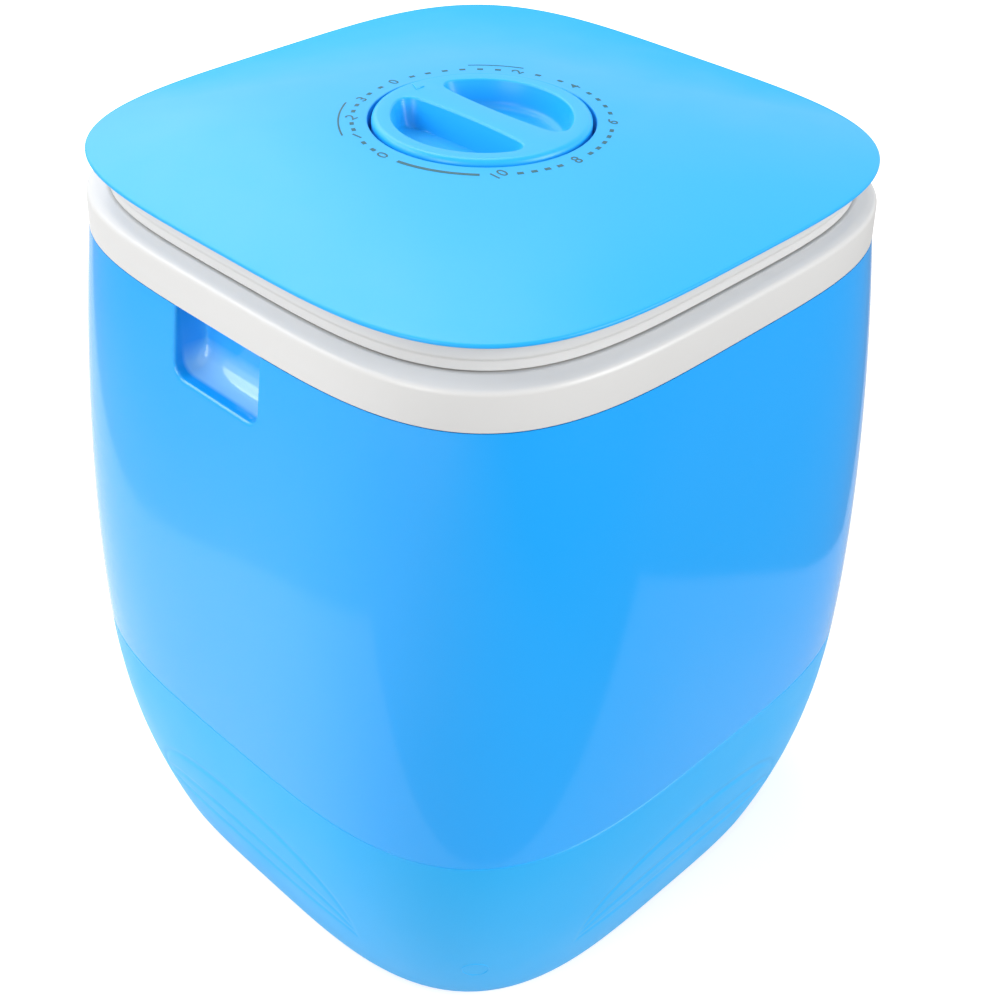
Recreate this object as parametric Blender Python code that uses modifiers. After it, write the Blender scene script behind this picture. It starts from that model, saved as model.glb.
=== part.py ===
"""Mini washing machine: a tub washer of square plan, with a spin basket and its dial in the lid.

The front is -Y, the lid's hinge is at +Y, +Z is up and the floor is z = 0. Lengths are in metres.
"""

import math

import bmesh
import bpy
from mathutils import Matrix, Vector

MM = 0.001

# Gaps and working allowances
CLEARANCE = 0.3 * MM
OVERRUN = 3 * MM
MERGE_DISTANCE = 0.001 * MM

# Facets
PLAN_STEPS = 40
PLAN_CORNER_SHARE = 0.4
TURN_STEPS = 36
COARSE_STEPS = 22
SHAFT_STEPS = 14
ROUND_STEPS = 12
SMALL_STEPS = 8
SCREW_STEPS = 6
ARC_STEPS = 4
HINGE_STEPS = 6
FILLET_STEPS = 3
SMOOTH_ANGLE = math.radians(35)

# Body: its half widths are measured to the middle of a flat side
FOOT_HEIGHT = 6 * MM
SEAM_HEIGHT = 147 * MM
SHELL_TOP = 409 * MM
WIDEST_HEIGHT = 160 * MM
BODY_TOP_HALF = 177.6 * MM
BODY_WIDEST_HALF = 1.1036 * BODY_TOP_HALF
BODY_BOTTOM_HALF = 0.9797 * BODY_TOP_HALF
MOUTH_RADIUS = 0.8418 * BODY_TOP_HALF
UPPER_BULGE_POWER = 1.85
LOWER_BULGE_POWER = 2.3
BOTTOM_SQUARENESS = 3.52
TOP_SQUARENESS = 3.83
BODY_WALL = 2.5 * MM
SEAM_GAP = 0.4 * MM
SHELL_STATIONS = 4

# Hand recesses
RECESS_WIDTH = 65 * MM
RECESS_DROP = 38 * MM
RECESS_DEPTH = 16 * MM
RECESS_COVE = 12 * MM
RECESS_CORNER = 7 * MM
RECESS_SIDE_COVE = 2.5 * MM

# Base housing
BASE_STATIONS = 4
BASE_FLOOR = 2.5 * MM
BASE_FLANGE_HALF = 0.7658 * BODY_TOP_HALF
BASE_EDGE_ROUND = 3 * MM
HOUSING_WALL = 5 * MM
SEAT_GAP = 2.5 * MM
TONGUE_HEIGHT = 7 * MM
GROOVE_REACH = 0.5068 * BODY_TOP_HALF
GROOVE_FOOT_HEIGHT = 42 * MM
GROOVE_PEAK_HEIGHTS = (98 * MM, 70 * MM, 52 * MM)
GROOVE_RADIUS = 2.4 * MM
GROOVE_DEPTH = 1.2 * MM
GROOVE_END_SHARE = 0.3
GROOVE_ARCH_POWER = 2.4
GROOVE_POINTS = 9

# Feet and the screws through them
FOOT_INSET = 0.2703 * BODY_TOP_HALF
FOOT_RADIUS = 15 * MM
FOOT_TOP_RADIUS = 13 * MM
FOOT_SINK_RADIUS = 6.5 * MM
FOOT_SINK_DEPTH = 3.4 * MM
FOOT_SCREW_RADIUS = 2 * MM
FOOT_SCREW_HEAD_RADIUS = 4.8 * MM
FOOT_SCREW_HEAD_HEIGHT = 2.4 * MM
FOOT_SCREW_LENGTH = 13 * MM
SCREW_HOLE_EASE = 0.4 * MM

# Base plate
PLATE_THICKNESS = 3 * MM
PLATE_SIDE_GAP = 1.2 * MM
PLATE_BOSS_RADIUS = 7 * MM
PLATE_BOSS_HEIGHT = 9 * MM
VENT_COUNT = 5
VENT_WIDTH = 5 * MM
VENT_LENGTH = 44 * MM
VENT_PITCH = 13 * MM
VENT_SETBACK = 62 * MM

# Belt drive: heights are above the floor
BELT_HEIGHT = 46 * MM
BELT_WIDTH = 8 * MM
BELT_THICKNESS = 6 * MM
BELT_SEAT_GAP = 0.9 * MM
DRIVE_RATIO = 4
DRIVE_PITCH_RADIUS = 0.3716 * BODY_TOP_HALF
MOTOR_PITCH_RADIUS = DRIVE_PITCH_RADIUS / DRIVE_RATIO
PULLEY_WIDTH = 14 * MM
PULLEY_LIP = 2 * MM
PULLEY_HUB_RADIUS = 15 * MM
PULLEY_WEB = 4 * MM
PULLEY_RIM = 5 * MM
PULLEY_HOLES = 4
PULLEY_HOLE_RADIUS = 11 * MM
MOTOR_SETBACK = 0.6081 * BODY_TOP_HALF

# Motor
BRACKET_THICKNESS = 2 * MM
BRACKET_GAP = 5 * MM
BRACKET_WIDTH = 0.8333 * BODY_TOP_HALF
BRACKET_LENGTH = 0.6081 * BODY_TOP_HALF
BRACKET_CORNER = 8 * MM
BRACKET_SCREW_INSET = 9 * MM
POST_RADIUS = 6 * MM
MOTOR_RADIUS = 0.2815 * BODY_TOP_HALF
MOTOR_BELL_INSET = 6 * MM
MOTOR_BELL_HEIGHT = 8 * MM
MOTOR_HEIGHT = 70 * MM
MOTOR_BOSS_RADIUS = 12 * MM
MOTOR_BOSS_HEIGHT = 4 * MM
MOTOR_SHAFT_RADIUS = 5 * MM
MOTOR_SHAFT_SINK = 62 * MM
MOTOR_SHAFT_HOLE = 14 * MM
MOTOR_SCREW_INSET = 16 * MM
STATOR_DEPTH = 22 * MM
ROTOR_LIFT = 14 * MM
ROTOR_HEIGHT = 40 * MM
ROTOR_EDGE = 3 * MM
ROTOR_GAP = 1 * MM
SCREW_RADIUS = 1.8 * MM
SCREW_HEAD_RADIUS = 3.6 * MM
SCREW_HEAD_HEIGHT = 2 * MM
SCREW_LENGTH = 10 * MM
CAPACITOR_RADIUS = 17 * MM
CAPACITOR_HEIGHT = 72 * MM
CAPACITOR_EDGE = 2 * MM
CAPACITOR_ASIDE = 0.6306 * BODY_TOP_HALF
CAPACITOR_FORWARD = 0.2252 * BODY_TOP_HALF
CUP_WALL = 2.4 * MM
CUP_HEIGHT = 16 * MM
CUP_GAP = 0.5 * MM

# Tub and the shaft that turns inside it
TUB_ABOVE_MOTOR = 24.2 * MM
TUB_WALL = 2.4 * MM
TUB_BEHIND_MOUTH = 1.5 * MM
TUB_TAPER = 7 * MM
TUB_FILLET = 18 * MM
TUB_FLANGE = 9 * MM
TUB_RIBS = 3
TUB_RIB_RADIUS = 5 * MM
TUB_HOLE_RADIUS = 9 * MM
DRAIN_ASIDE = 0.4955 * BODY_TOP_HALF
DRAIN_BACK = 0.3041 * BODY_TOP_HALF
DRAIN_HEIGHT = 40 * MM
DRAIN_PIPE_RADIUS = 9 * MM
DRAIN_BEND = 26 * MM
DRAIN_HOLE_RADIUS = 6 * MM
OUTLET_RADIUS = 10.5 * MM
OUTLET_BORE = 7.5 * MM
OUTLET_BARB = 1.2 * MM
OUTLET_FLANGE = 4 * MM
OUTLET_FLANGE_THICKNESS = 3 * MM
OUTLET_INSIDE = 12 * MM
OUTLET_SHORT_OF_WIDEST = 2 * MM
BACK_HOLE_REACH = 50 * MM
GLAND_ASIDE = 0.4955 * BODY_TOP_HALF
GLAND_HEIGHT = 44 * MM
GLAND_RADIUS = 8 * MM
GLAND_BORE = 3.6 * MM
GLAND_PROUD = 7 * MM
GLAND_FLANGE = 3 * MM

SHAFT_RADIUS = 6 * MM
SHAFT_STUD_RADIUS = 4.5 * MM
HOUSING_FLANGE_RADIUS = 46 * MM
HOUSING_FLANGE_THICKNESS = 5 * MM
HOUSING_RADIUS = 18 * MM
HOUSING_BORE = 8 * MM
HOUSING_ABOVE_PULLEY = 6 * MM
HOUSING_RIBS = 4
HOUSING_RIB_DROP = 24 * MM
HOUSING_RIB_THICKNESS = 4 * MM
BEARING_RADIUS = 12 * MM
BEARING_HEIGHT = 9 * MM
SEAL_HEIGHT = 6 * MM
NUT_RADIUS = 9 * MM
NUT_HEIGHT = 7 * MM
STUD_PROUD = 3 * MM

# Pulsator and spin basket
PULSATOR_LIFT = 3 * MM
PULSATOR_INSIDE_BASKET = 6 * MM
PULSATOR_THICKNESS = 6 * MM
PULSATOR_DISH = 4 * MM
PULSATOR_BOSS_RADIUS = 16 * MM
PULSATOR_BOSS_HEIGHT = 30 * MM
PULSATOR_SOCKET_DEPTH = 23 * MM
VANE_COUNT = 4
VANE_MARGIN = 18 * MM
VANE_WIDTH = 20 * MM
VANE_HEIGHT = 13 * MM
PULSATOR_SCREW_LENGTH = 14 * MM
PULSATOR_SCREW_HEAD_RADIUS = 5 * MM
PULSATOR_SCREW_HEAD_HEIGHT = 2.6 * MM
BASKET_LIFT = 26 * MM
BASKET_BELOW_TUB = 25.6 * MM
BASKET_WALL = 2.4 * MM
BASKET_SIDE_GAP = 16 * MM
BASKET_TAPER = 7 * MM
BASKET_RIM = 4 * MM
BASKET_RIM_HEIGHT = 7 * MM
BASKET_FILLET = 12 * MM
BASKET_SKIRT = 12 * MM
BASKET_HUB_WALL = 4 * MM
BASKET_CONE_TOP_RADIUS = 8 * MM
BASKET_CONE_HEIGHT = 22 * MM
SLOT_COLUMNS = 14
SLOT_ROWS = 2
SLOT_WIDTH = 3.6 * MM
SLOT_HEIGHT_SHARE = 0.305
SLOT_PITCH_SHARE = 0.3714
SLOTS_START_SHARE = 0.2952
SLOT_TURN_SHARE = 0.25

# Collar and deck
BAND_HEIGHT = 20 * MM
BAND_WALL = 3 * MM
BAND_DRAFT = 0.7 * MM
CREASE_ROUND = 2.4 * MM
LEDGE_RISE = 2.6 * MM
LEDGE_WIDTH = 12.2 * MM
LEDGE_MIDDLE_SHARE = 0.75
CREASE_MIDDLE_SHARE = 0.3
DECK_THICKNESS = 2.6 * MM
DECK_DROP = 2 * MM
DECK_ROLL = 4 * MM
MOUTH_ROUND = 1.2 * MM
WEB_HEIGHT = 2.5 * MM
WEB_REACH = 21 * MM

# Lid
LID_INSET = 2.6 * MM
LID_SQUARENESS_POWER = 0.7
LID_GAP = 0.9 * MM
SKIRT_HEIGHT = 17 * MM
LID_OVERHANG = 8.6 * MM
SKIRT_STEP = 1.2 * MM
SKIRT_LOWER_HEIGHT = 5.4 * MM
SKIRT_WALL = 2.6 * MM
FRAME_FLANGE_WIDTH = 16.4 * MM
LID_THICKNESS = 2.2 * MM
LID_RISE = 14 * MM
LID_EDGE_ROUND = 0.8 * MM
LID_TOP_SHARES = (0.86, 0.68, 0.5)
LID_UNDER_SHARES = (0.5, 0.78)
WELL_RADIUS = 59.5 * MM
WELL_SHOULDER = 2.2 * MM
WELL_DEPTH = 17 * MM
WELL_TAPER = 0.6 * MM
WELL_HOLE_RADIUS = 7 * MM
BOSS_RADIUS = 5 * MM
BOSS_ASIDE = 0.5518 * BODY_TOP_HALF
BOSS_AHEAD = 0.4955 * BODY_TOP_HALF
LINER_EDGE_GAP = 1 * MM
LINER_THICKNESS = 2.2 * MM
LINER_ABOVE_SKIRT = 1.6 * MM
LINER_BOWL_RADIUS = 74 * MM
LINER_BOWL_DEPTH = 15 * MM
LINER_BOWL_TAPER = 8 * MM
LINER_BOWL_ROUND = 8 * MM
LINER_BOWL_LIFT = 2 * MM

# Hinge
HINGE_RADIUS = 4 * MM
HINGE_BEHIND_SKIRT = 0.8 * MM
HINGE_ABOVE_LEDGE = 11.4 * MM
HINGE_ASIDE = 0.3491 * BODY_TOP_HALF
KNUCKLE_WIDTH = 24 * MM
KNUCKLE_SINK = 5 * MM
EAR_WIDTH = 5 * MM
EAR_FOOT_SHARE = 0.35
HINGE_SIDE_GAP = 0.5 * MM
HINGE_PIN_RADIUS = 1.8 * MM
HINGE_PIN_PROUD = 1 * MM

# Timer and knob
KNOB_SIDE_GAP = 2 * MM
KNOB_PROUD = 2.4 * MM
KNOB_FLOOR_GAP = 3.8 * MM
KNOB_EDGE_ROUND = 3.2 * MM
KNOB_RING_WIDTH = 9.5 * MM
KNOB_SCOOP_DEPTH = 13 * MM
KNOB_BAR_HALF = 7.6 * MM
KNOB_BAR_FLARE = 3 * MM
KNOB_POINTER_LENGTH = 7 * MM
KNOB_POINTER_WIDTH = 6 * MM
KNOB_POINTER_HEIGHT = 0.8 * MM
KNOB_SOCKET_DEPTH = 9 * MM
TIMER_SIDE = 56 * MM
TIMER_HEIGHT = 19 * MM
TIMER_EDGE = 2 * MM
TIMER_SHAFT_RADIUS = 3 * MM
TIMER_SHAFT_SINK = 9 * MM
TIMER_SCREW_ASIDE = 19 * MM
TIMER_SCREW_AHEAD = 8 * MM
TIMER_SCREW_LENGTH = 8 * MM
TIMER_SCREW_HEAD_HEIGHT = 1.6 * MM

# Sizes that follow from the sizes above
MOTOR_BELL_RADIUS = MOTOR_RADIUS - MOTOR_BELL_INSET
MOTOR_SCREW_CIRCLE = MOTOR_RADIUS - MOTOR_SCREW_INSET
ROTOR_RADIUS = MOTOR_RADIUS - STATOR_DEPTH
TUB_TOP_RADIUS = MOUTH_RADIUS - TUB_BEHIND_MOUTH
TUB_BOTTOM_RADIUS = TUB_TOP_RADIUS - TUB_TAPER
BASKET_TOP_RADIUS = TUB_BOTTOM_RADIUS - BASKET_SIDE_GAP
BASKET_BOTTOM_RADIUS = BASKET_TOP_RADIUS - BASKET_TAPER
PULSATOR_RADIUS = BASKET_BOTTOM_RADIUS - PULSATOR_INSIDE_BASKET
VANE_LENGTH = PULSATOR_RADIUS - PULSATOR_BOSS_RADIUS - VANE_MARGIN
LEDGE_INNER_HALF = BODY_TOP_HALF - LEDGE_WIDTH
LID_HALF = BODY_TOP_HALF - LID_INSET
SKIRT_HALF = LID_HALF - LID_OVERHANG
FRAME_FLANGE_HALF = SKIRT_HALF - FRAME_FLANGE_WIDTH
KNOB_RADIUS = WELL_RADIUS - KNOB_SIDE_GAP
KNOB_SCOOP_RADIUS = KNOB_RADIUS - KNOB_RING_WIDTH

# Heights that follow from the sizes above
PLATE_BOTTOM = FOOT_HEIGHT + BASE_FLOOR + CLEARANCE
PLATE_TOP = PLATE_BOTTOM + PLATE_THICKNESS
PULLEY_TOP = BELT_HEIGHT + PULLEY_WIDTH / 2
PULLEY_BOTTOM = BELT_HEIGHT - PULLEY_WIDTH / 2
BRACKET_BOTTOM = PULLEY_TOP + BRACKET_GAP
MOTOR_BOTTOM = BRACKET_BOTTOM + BRACKET_THICKNESS + CLEARANCE
MOTOR_TOP = MOTOR_BOTTOM + MOTOR_HEIGHT
ROTOR_BOTTOM = MOTOR_BOTTOM + ROTOR_LIFT
ROTOR_TOP = ROTOR_BOTTOM + ROTOR_HEIGHT
CREASE_HEIGHT = SHELL_TOP + BAND_HEIGHT
LEDGE_HEIGHT = CREASE_HEIGHT + LEDGE_RISE
MOUTH_HEIGHT = LEDGE_HEIGHT - DECK_DROP
DECK_UNDERSIDE = MOUTH_HEIGHT - DECK_THICKNESS - MOUTH_ROUND
TUB_TOP = DECK_UNDERSIDE - CLEARANCE
TUB_BOTTOM = MOTOR_TOP + MOTOR_BOSS_HEIGHT + TUB_ABOVE_MOTOR
TUB_FLOOR = TUB_BOTTOM + TUB_WALL
HOUSING_TOP = TUB_BOTTOM - CLEARANCE
HOUSING_BOTTOM = PULLEY_TOP + HOUSING_ABOVE_PULLEY
PULSATOR_BOTTOM = TUB_FLOOR + PULSATOR_LIFT
BOSS_TOP = PULSATOR_BOTTOM + PULSATOR_BOSS_HEIGHT
SHAFT_TOP = PULSATOR_BOTTOM + PULSATOR_SOCKET_DEPTH - CLEARANCE
BASKET_BOTTOM = PULSATOR_BOTTOM + BASKET_LIFT
BASKET_TOP = TUB_TOP - BASKET_BELOW_TUB
BASKET_HEIGHT = BASKET_TOP - BASKET_BOTTOM
SKIRT_BOTTOM = LEDGE_HEIGHT + LID_GAP
LID_UNDER_EDGE = SKIRT_BOTTOM + SKIRT_HEIGHT
LID_TOP_EDGE = LID_UNDER_EDGE + LID_THICKNESS
LINER_BOTTOM = SKIRT_BOTTOM + LINER_ABOVE_SKIRT
LINER_TOP = LINER_BOTTOM + LINER_THICKNESS
WELL_EDGE_HEIGHT = LID_TOP_EDGE + LID_RISE * (1 - (WELL_RADIUS / LID_HALF) ** 2)
WELL_FLOOR = WELL_EDGE_HEIGHT - WELL_DEPTH
TIMER_TOP = WELL_FLOOR - LID_THICKNESS - CLEARANCE
KNOB_BOTTOM = WELL_FLOOR + KNOB_FLOOR_GAP
KNOB_TOP = WELL_EDGE_HEIGHT + KNOB_PROUD
HINGE_HEIGHT = LEDGE_HEIGHT + HINGE_ABOVE_LEDGE
HINGE_BACK = SKIRT_HALF + SKIRT_STEP + HINGE_BEHIND_SKIRT + HINGE_RADIUS
FOOT_PLACE = BODY_BOTTOM_HALF - FOOT_INSET
DRIVE_ROOT_RADIUS = DRIVE_PITCH_RADIUS - BELT_THICKNESS / 2 - BELT_SEAT_GAP
MOTOR_ROOT_RADIUS = MOTOR_PITCH_RADIUS - BELT_THICKNESS / 2 - BELT_SEAT_GAP

# Colours
BLUE_LID = (0.10, 0.55, 0.95, 1)
BLUE_SHELL = (0.04, 0.42, 0.92, 1)
BLUE_BASE = (0.06, 0.50, 0.88, 1)
WHITE = (0.82, 0.82, 0.80, 1)
TUB_WHITE = (0.78, 0.80, 0.82, 1)
BLACK_RUBBER = (0.03, 0.03, 0.03, 1)
STEEL = (0.55, 0.56, 0.57, 1)
DARK_STEEL = (0.20, 0.21, 0.22, 1)
GREY = (0.35, 0.36, 0.38, 1)


def new_collection(name, hidden=False):
    collection = bpy.data.collections.new(name)
    collection.hide_render = hidden
    bpy.context.scene.collection.children.link(collection)
    return collection


def material(name, colour, roughness, metallic=0.0):
    made = bpy.data.materials.new(name)
    made.use_nodes = True
    shader = made.node_tree.nodes["Principled BSDF"]
    shader.inputs["Base Color"].default_value = colour
    shader.inputs["Roughness"].default_value = roughness
    shader.inputs["Metallic"].default_value = metallic
    return made


def object_of(name, built):
    """An object in the parts collection that holds the bmesh."""
    mesh = bpy.data.meshes.new(name)
    built.to_mesh(mesh)
    built.free()
    made = bpy.data.objects.new(name, mesh)
    PARTS.objects.link(made)
    return made


def ring(half, squareness, height):
    """One plan ring, finer at its corners: half is its reach, and a squareness of 2 is round."""
    points = []
    for step in range(PLAN_STEPS):
        even = math.tau * step / PLAN_STEPS
        angle = even + PLAN_CORNER_SHARE * math.sin(4 * even) / 4
        across, along = math.cos(angle), math.sin(angle)
        spread = (abs(across) ** squareness + abs(along) ** squareness) ** (1 / squareness)
        points.append((half * across / spread, half * along / spread, height))
    return points


def lofted(name, rings, closed=False):
    """A skin over rings of points: capped at both ends, or joined into a hollow ring."""
    built = bmesh.new()
    rows = [[built.verts.new(point) for point in points] for points in rings]
    pairs = list(zip(rows, rows[1:]))
    if closed:
        pairs.append((rows[-1], rows[0]))
    for low, high in pairs:
        for step in range(len(low)):
            after = (step + 1) % len(low)
            built.faces.new((low[step], low[after], high[after], high[step]))
    if not closed:
        built.faces.new(rows[0])
        built.faces.new(rows[-1])
    bmesh.ops.recalc_face_normals(built, faces=built.faces)
    return object_of(name, built)


def turned(name, profile, steps=TURN_STEPS, closed=True):
    """A profile of (radius, height) turned about Z: down its outer side and up its inner side."""
    built = bmesh.new()
    points = [built.verts.new((radius, 0, height)) for radius, height in profile]
    for first, second in zip(points, points[1:]):
        built.edges.new((first, second))
    if closed:
        built.edges.new((points[-1], points[0]))
    made = object_of(name, built)
    screw = made.modifiers.new("turn", "SCREW")
    screw.steps = steps
    screw.render_steps = steps
    screw.use_merge_vertices = True
    screw.merge_threshold = MERGE_DISTANCE
    return made


def cylinder(name, radius, low, high, x=0.0, y=0.0, steps=ROUND_STEPS):
    built = bmesh.new()
    bmesh.ops.create_cone(
        built,
        cap_ends=True,
        segments=steps,
        radius1=radius,
        radius2=radius,
        depth=high - low,
    )
    made = object_of(name, built)
    made.location = (x, y, (low + high) / 2)
    return made


def box(name, low, high):
    built = bmesh.new()
    bmesh.ops.create_cube(built, size=1)
    size = Vector(high) - Vector(low)
    bmesh.ops.scale(built, vec=size, verts=built.verts)
    made = object_of(name, built)
    made.location = (Vector(low) + Vector(high)) / 2
    return made


def mesh_of(piece):
    """The curve made a mesh object of the same name and place, with its caps welded."""
    bpy.context.view_layer.update()
    graph = bpy.context.evaluated_depsgraph_get()
    mesh = bpy.data.meshes.new_from_object(piece.evaluated_get(graph))
    built = bmesh.new()
    built.from_mesh(mesh)
    bmesh.ops.remove_doubles(built, verts=built.verts, dist=MERGE_DISTANCE)
    built.to_mesh(mesh)
    built.free()
    name = piece.name
    placed = piece.matrix_world.copy()
    bpy.data.objects.remove(piece)
    made = bpy.data.objects.new(name, mesh)
    made.matrix_world = placed
    PARTS.objects.link(made)
    return made


def flat(name, outlines, thickness):
    """Closed outlines of (x, y) filled and given a thickness that is centred on z = 0."""
    curve = bpy.data.curves.new(name, "CURVE")
    curve.dimensions = "2D"
    curve.fill_mode = "BOTH"
    curve.extrude = thickness / 2
    for outline in outlines:
        spline = curve.splines.new("POLY")
        spline.points.add(len(outline) - 1)
        for point, (x, y) in zip(spline.points, outline):
            point.co = (x, y, 0, 1)
        spline.use_cyclic_u = True
    made = bpy.data.objects.new(name, curve)
    PARTS.objects.link(made)
    return mesh_of(made)


def tube(name, points, radius, sides=1, end_share=1.0):
    """A round bar along the points; end_share below 1 tapers it towards both ends."""
    curve = bpy.data.curves.new(name, "CURVE")
    curve.dimensions = "3D"
    curve.bevel_depth = radius
    curve.bevel_resolution = sides
    curve.use_fill_caps = True
    spline = curve.splines.new("POLY")
    spline.points.add(len(points) - 1)
    last = len(points) - 1
    for index, place in enumerate(points):
        spline.points[index].co = (*place, 1)
        swell = math.sqrt(math.sin(math.pi * index / last))
        spline.points[index].radius = end_share + (1 - end_share) * swell
    made = bpy.data.objects.new(name, curve)
    PARTS.objects.link(made)
    return mesh_of(made)


def arc(centre, radius, start, end, steps=ARC_STEPS):
    """Points of (x, y) on an arc between two angles in degrees."""
    points = []
    for step in range(steps + 1):
        angle = math.radians(start + (end - start) * step / steps)
        points.append((centre[0] + radius * math.cos(angle), centre[1] + radius * math.sin(angle)))
    return points


def circle(centre, radius, steps=SMALL_STEPS):
    return arc(centre, radius, 0, 360 * (steps - 1) / steps, steps - 1)


def rounded_rectangle(centre, half_x, half_y, corner):
    x, y = centre
    right, back = half_x - corner, half_y - corner
    return (
        arc((x + right, y + back), corner, 0, 90, FILLET_STEPS)
        + arc((x - right, y + back), corner, 90, 180, FILLET_STEPS)
        + arc((x - right, y - back), corner, 180, 270, FILLET_STEPS)
        + arc((x + right, y - back), corner, 270, 360, FILLET_STEPS)
    )


def helper(piece):
    """Takes a shape out of the parts and keeps it as a cutter."""
    PARTS.objects.unlink(piece)
    CUTTERS.objects.link(piece)
    piece.hide_render = True
    piece.display_type = "WIRE"
    return piece


def combine(piece, tool, operation):
    change = piece.modifiers.new(tool.name, "BOOLEAN")
    change.operation = operation
    change.solver = "EXACT"
    change.object = helper(tool) if tool.name in PARTS.objects else tool
    return piece


def cut(piece, tool):
    return combine(piece, tool, "DIFFERENCE")


def join(piece, tool):
    return combine(piece, tool, "UNION")


def soften(piece, width, segments=2):
    bevel = piece.modifiers.new("soft edges", "BEVEL")
    bevel.width = width
    bevel.segments = segments
    bevel.limit_method = "ANGLE"
    return piece


def finish(piece, look, carrier=None):
    """Gives the piece its material and smooth shading, and parents it to its joint's empty."""
    piece.data.materials.clear()
    piece.data.materials.append(look)
    piece.data.shade_smooth()
    piece.data.set_sharp_from_angle(angle=SMOOTH_ANGLE)
    for modifier in piece.modifiers:
        if modifier.type == "SCREW":
            modifier.use_smooth_shade = True
    if carrier:
        piece.parent = carrier
        piece.location = piece.location - carrier.location
    return piece


def axis_empty(name, place):
    made = bpy.data.objects.new(name, None)
    made.location = place
    PARTS.objects.link(made)
    return made


def four_corners(x, y):
    return ((-x, -y), (x, -y), (-x, y), (x, y))


def screw(name, place, seat, head_radius, head_height, radius, length, upwards):
    """A screw whose head lies on the seat height and whose shank goes up or down from there."""
    way = 1 if upwards else -1
    top = (0, seat - way * head_height)
    profile = [
        top,
        (head_radius, seat - way * head_height),
        (head_radius, seat),
        (radius, seat),
        (radius, seat + way * length),
        (0, seat + way * length),
    ]
    if upwards:
        profile.reverse()
    made = turned(name, profile, steps=SCREW_STEPS, closed=False)
    made.location = (*place, 0)
    return made


def body_half(height):
    """Half width of the blue body at a height above the floor."""
    if height >= WIDEST_HEIGHT:
        share = (height - WIDEST_HEIGHT) / (SHELL_TOP - WIDEST_HEIGHT)
        return BODY_WIDEST_HALF - (BODY_WIDEST_HALF - BODY_TOP_HALF) * share**UPPER_BULGE_POWER
    share = (WIDEST_HEIGHT - height) / (WIDEST_HEIGHT - FOOT_HEIGHT)
    return BODY_WIDEST_HALF - (BODY_WIDEST_HALF - BODY_BOTTOM_HALF) * share**LOWER_BULGE_POWER


def body_squareness(height):
    share = (height - FOOT_HEIGHT) / (SHELL_TOP - FOOT_HEIGHT)
    return BOTTOM_SQUARENESS + (TOP_SQUARENESS - BOTTOM_SQUARENESS) * share


def wall_reach(across, height):
    """How far out the body's face lies, at a place across the face and a height."""
    half, squareness = body_half(height), body_squareness(height)
    return half * (1 - abs(across / half) ** squareness) ** (1 / squareness)


def body_ring(height, inset=0.0):
    return ring(body_half(height) - inset, body_squareness(height), height)


def body_rings(low, high, stations, inset=0.0):
    return [
        body_ring(low + (high - low) * station / stations, inset)
        for station in range(stations + 1)
    ]


def recess_section(reach, half_width, sill, corner):
    """A section of the recess square to X: open-topped, with rounded lower corners."""
    top = SHELL_TOP + 2 * OVERRUN
    right = arc((half_width - corner, sill + corner), corner, -90, 0, FILLET_STEPS)
    left = arc((corner - half_width, sill + corner), corner, 180, 270, FILLET_STEPS)
    outline = [*right, (half_width, top), (-half_width, top), *left]
    return [(reach, y, z) for y, z in outline]


def recess_form(name, side, grow):
    """The hollow of a hand recess, or with grow its wall's outer form: its floor coves up."""
    back = BODY_TOP_HALF - RECESS_DEPTH - grow
    sill = SHELL_TOP - RECESS_DROP - grow
    half_width = RECESS_WIDTH / 2 + grow
    corner = RECESS_CORNER + grow
    outside = BODY_WIDEST_HALF + OVERRUN + grow
    rings = [recess_section(side * outside, half_width, sill, corner)]
    for step in range(FILLET_STEPS + 1):
        turn = math.pi / 2 * step / FILLET_STEPS
        reach = back + (RECESS_COVE + grow) * (1 - math.sin(turn))
        lift = 1 - math.cos(turn)
        floor = sill + RECESS_COVE * lift
        rings.append(recess_section(side * reach, half_width - RECESS_SIDE_COVE * lift, floor, corner))
    return lofted(name, rings)


def make_outer_shell():
    low, high = SEAM_HEIGHT + SEAM_GAP, SHELL_TOP - CLEARANCE
    shell = lofted("outer_shell", body_rings(low, high, SHELL_STATIONS))
    rings = body_rings(low - OVERRUN, SHELL_TOP + OVERRUN, SHELL_STATIONS - 1, BODY_WALL)
    cavity = lofted("shell_cavity", rings)
    for side, label in ((-1, "left"), (1, "right")):
        cut(cavity, recess_form(f"recess_wall_{label}", side, BODY_WALL))
    cut(shell, cavity)
    for side, label in ((-1, "left"), (1, "right")):
        cut(shell, recess_form(f"recess_hollow_{label}", side, 0))
    return finish(shell, material("shell blue", BLUE_SHELL, 0.18))


def groove(name, peak, turns):
    """A round bar that follows one arch over a face of the base, for the face -Y turned by quarters."""
    points = []
    for index in range(GROOVE_POINTS):
        turn = math.pi * index / (GROOVE_POINTS - 1)
        rise = abs(math.sin(turn)) ** (2 / GROOVE_ARCH_POWER)
        share = math.copysign(abs(math.cos(turn)) ** (2 / GROOVE_ARCH_POWER), math.cos(turn))
        height = GROOVE_FOOT_HEIGHT + (peak - GROOVE_FOOT_HEIGHT) * rise
        across = GROOVE_REACH * share
        out = wall_reach(across, height) + GROOVE_RADIUS - GROOVE_DEPTH
        points.append((across, -out, height))
    made = tube(name, points, GROOVE_RADIUS, 1, GROOVE_END_SHARE)
    made.rotation_euler = (0, 0, turns * math.pi / 2)
    return made


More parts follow.
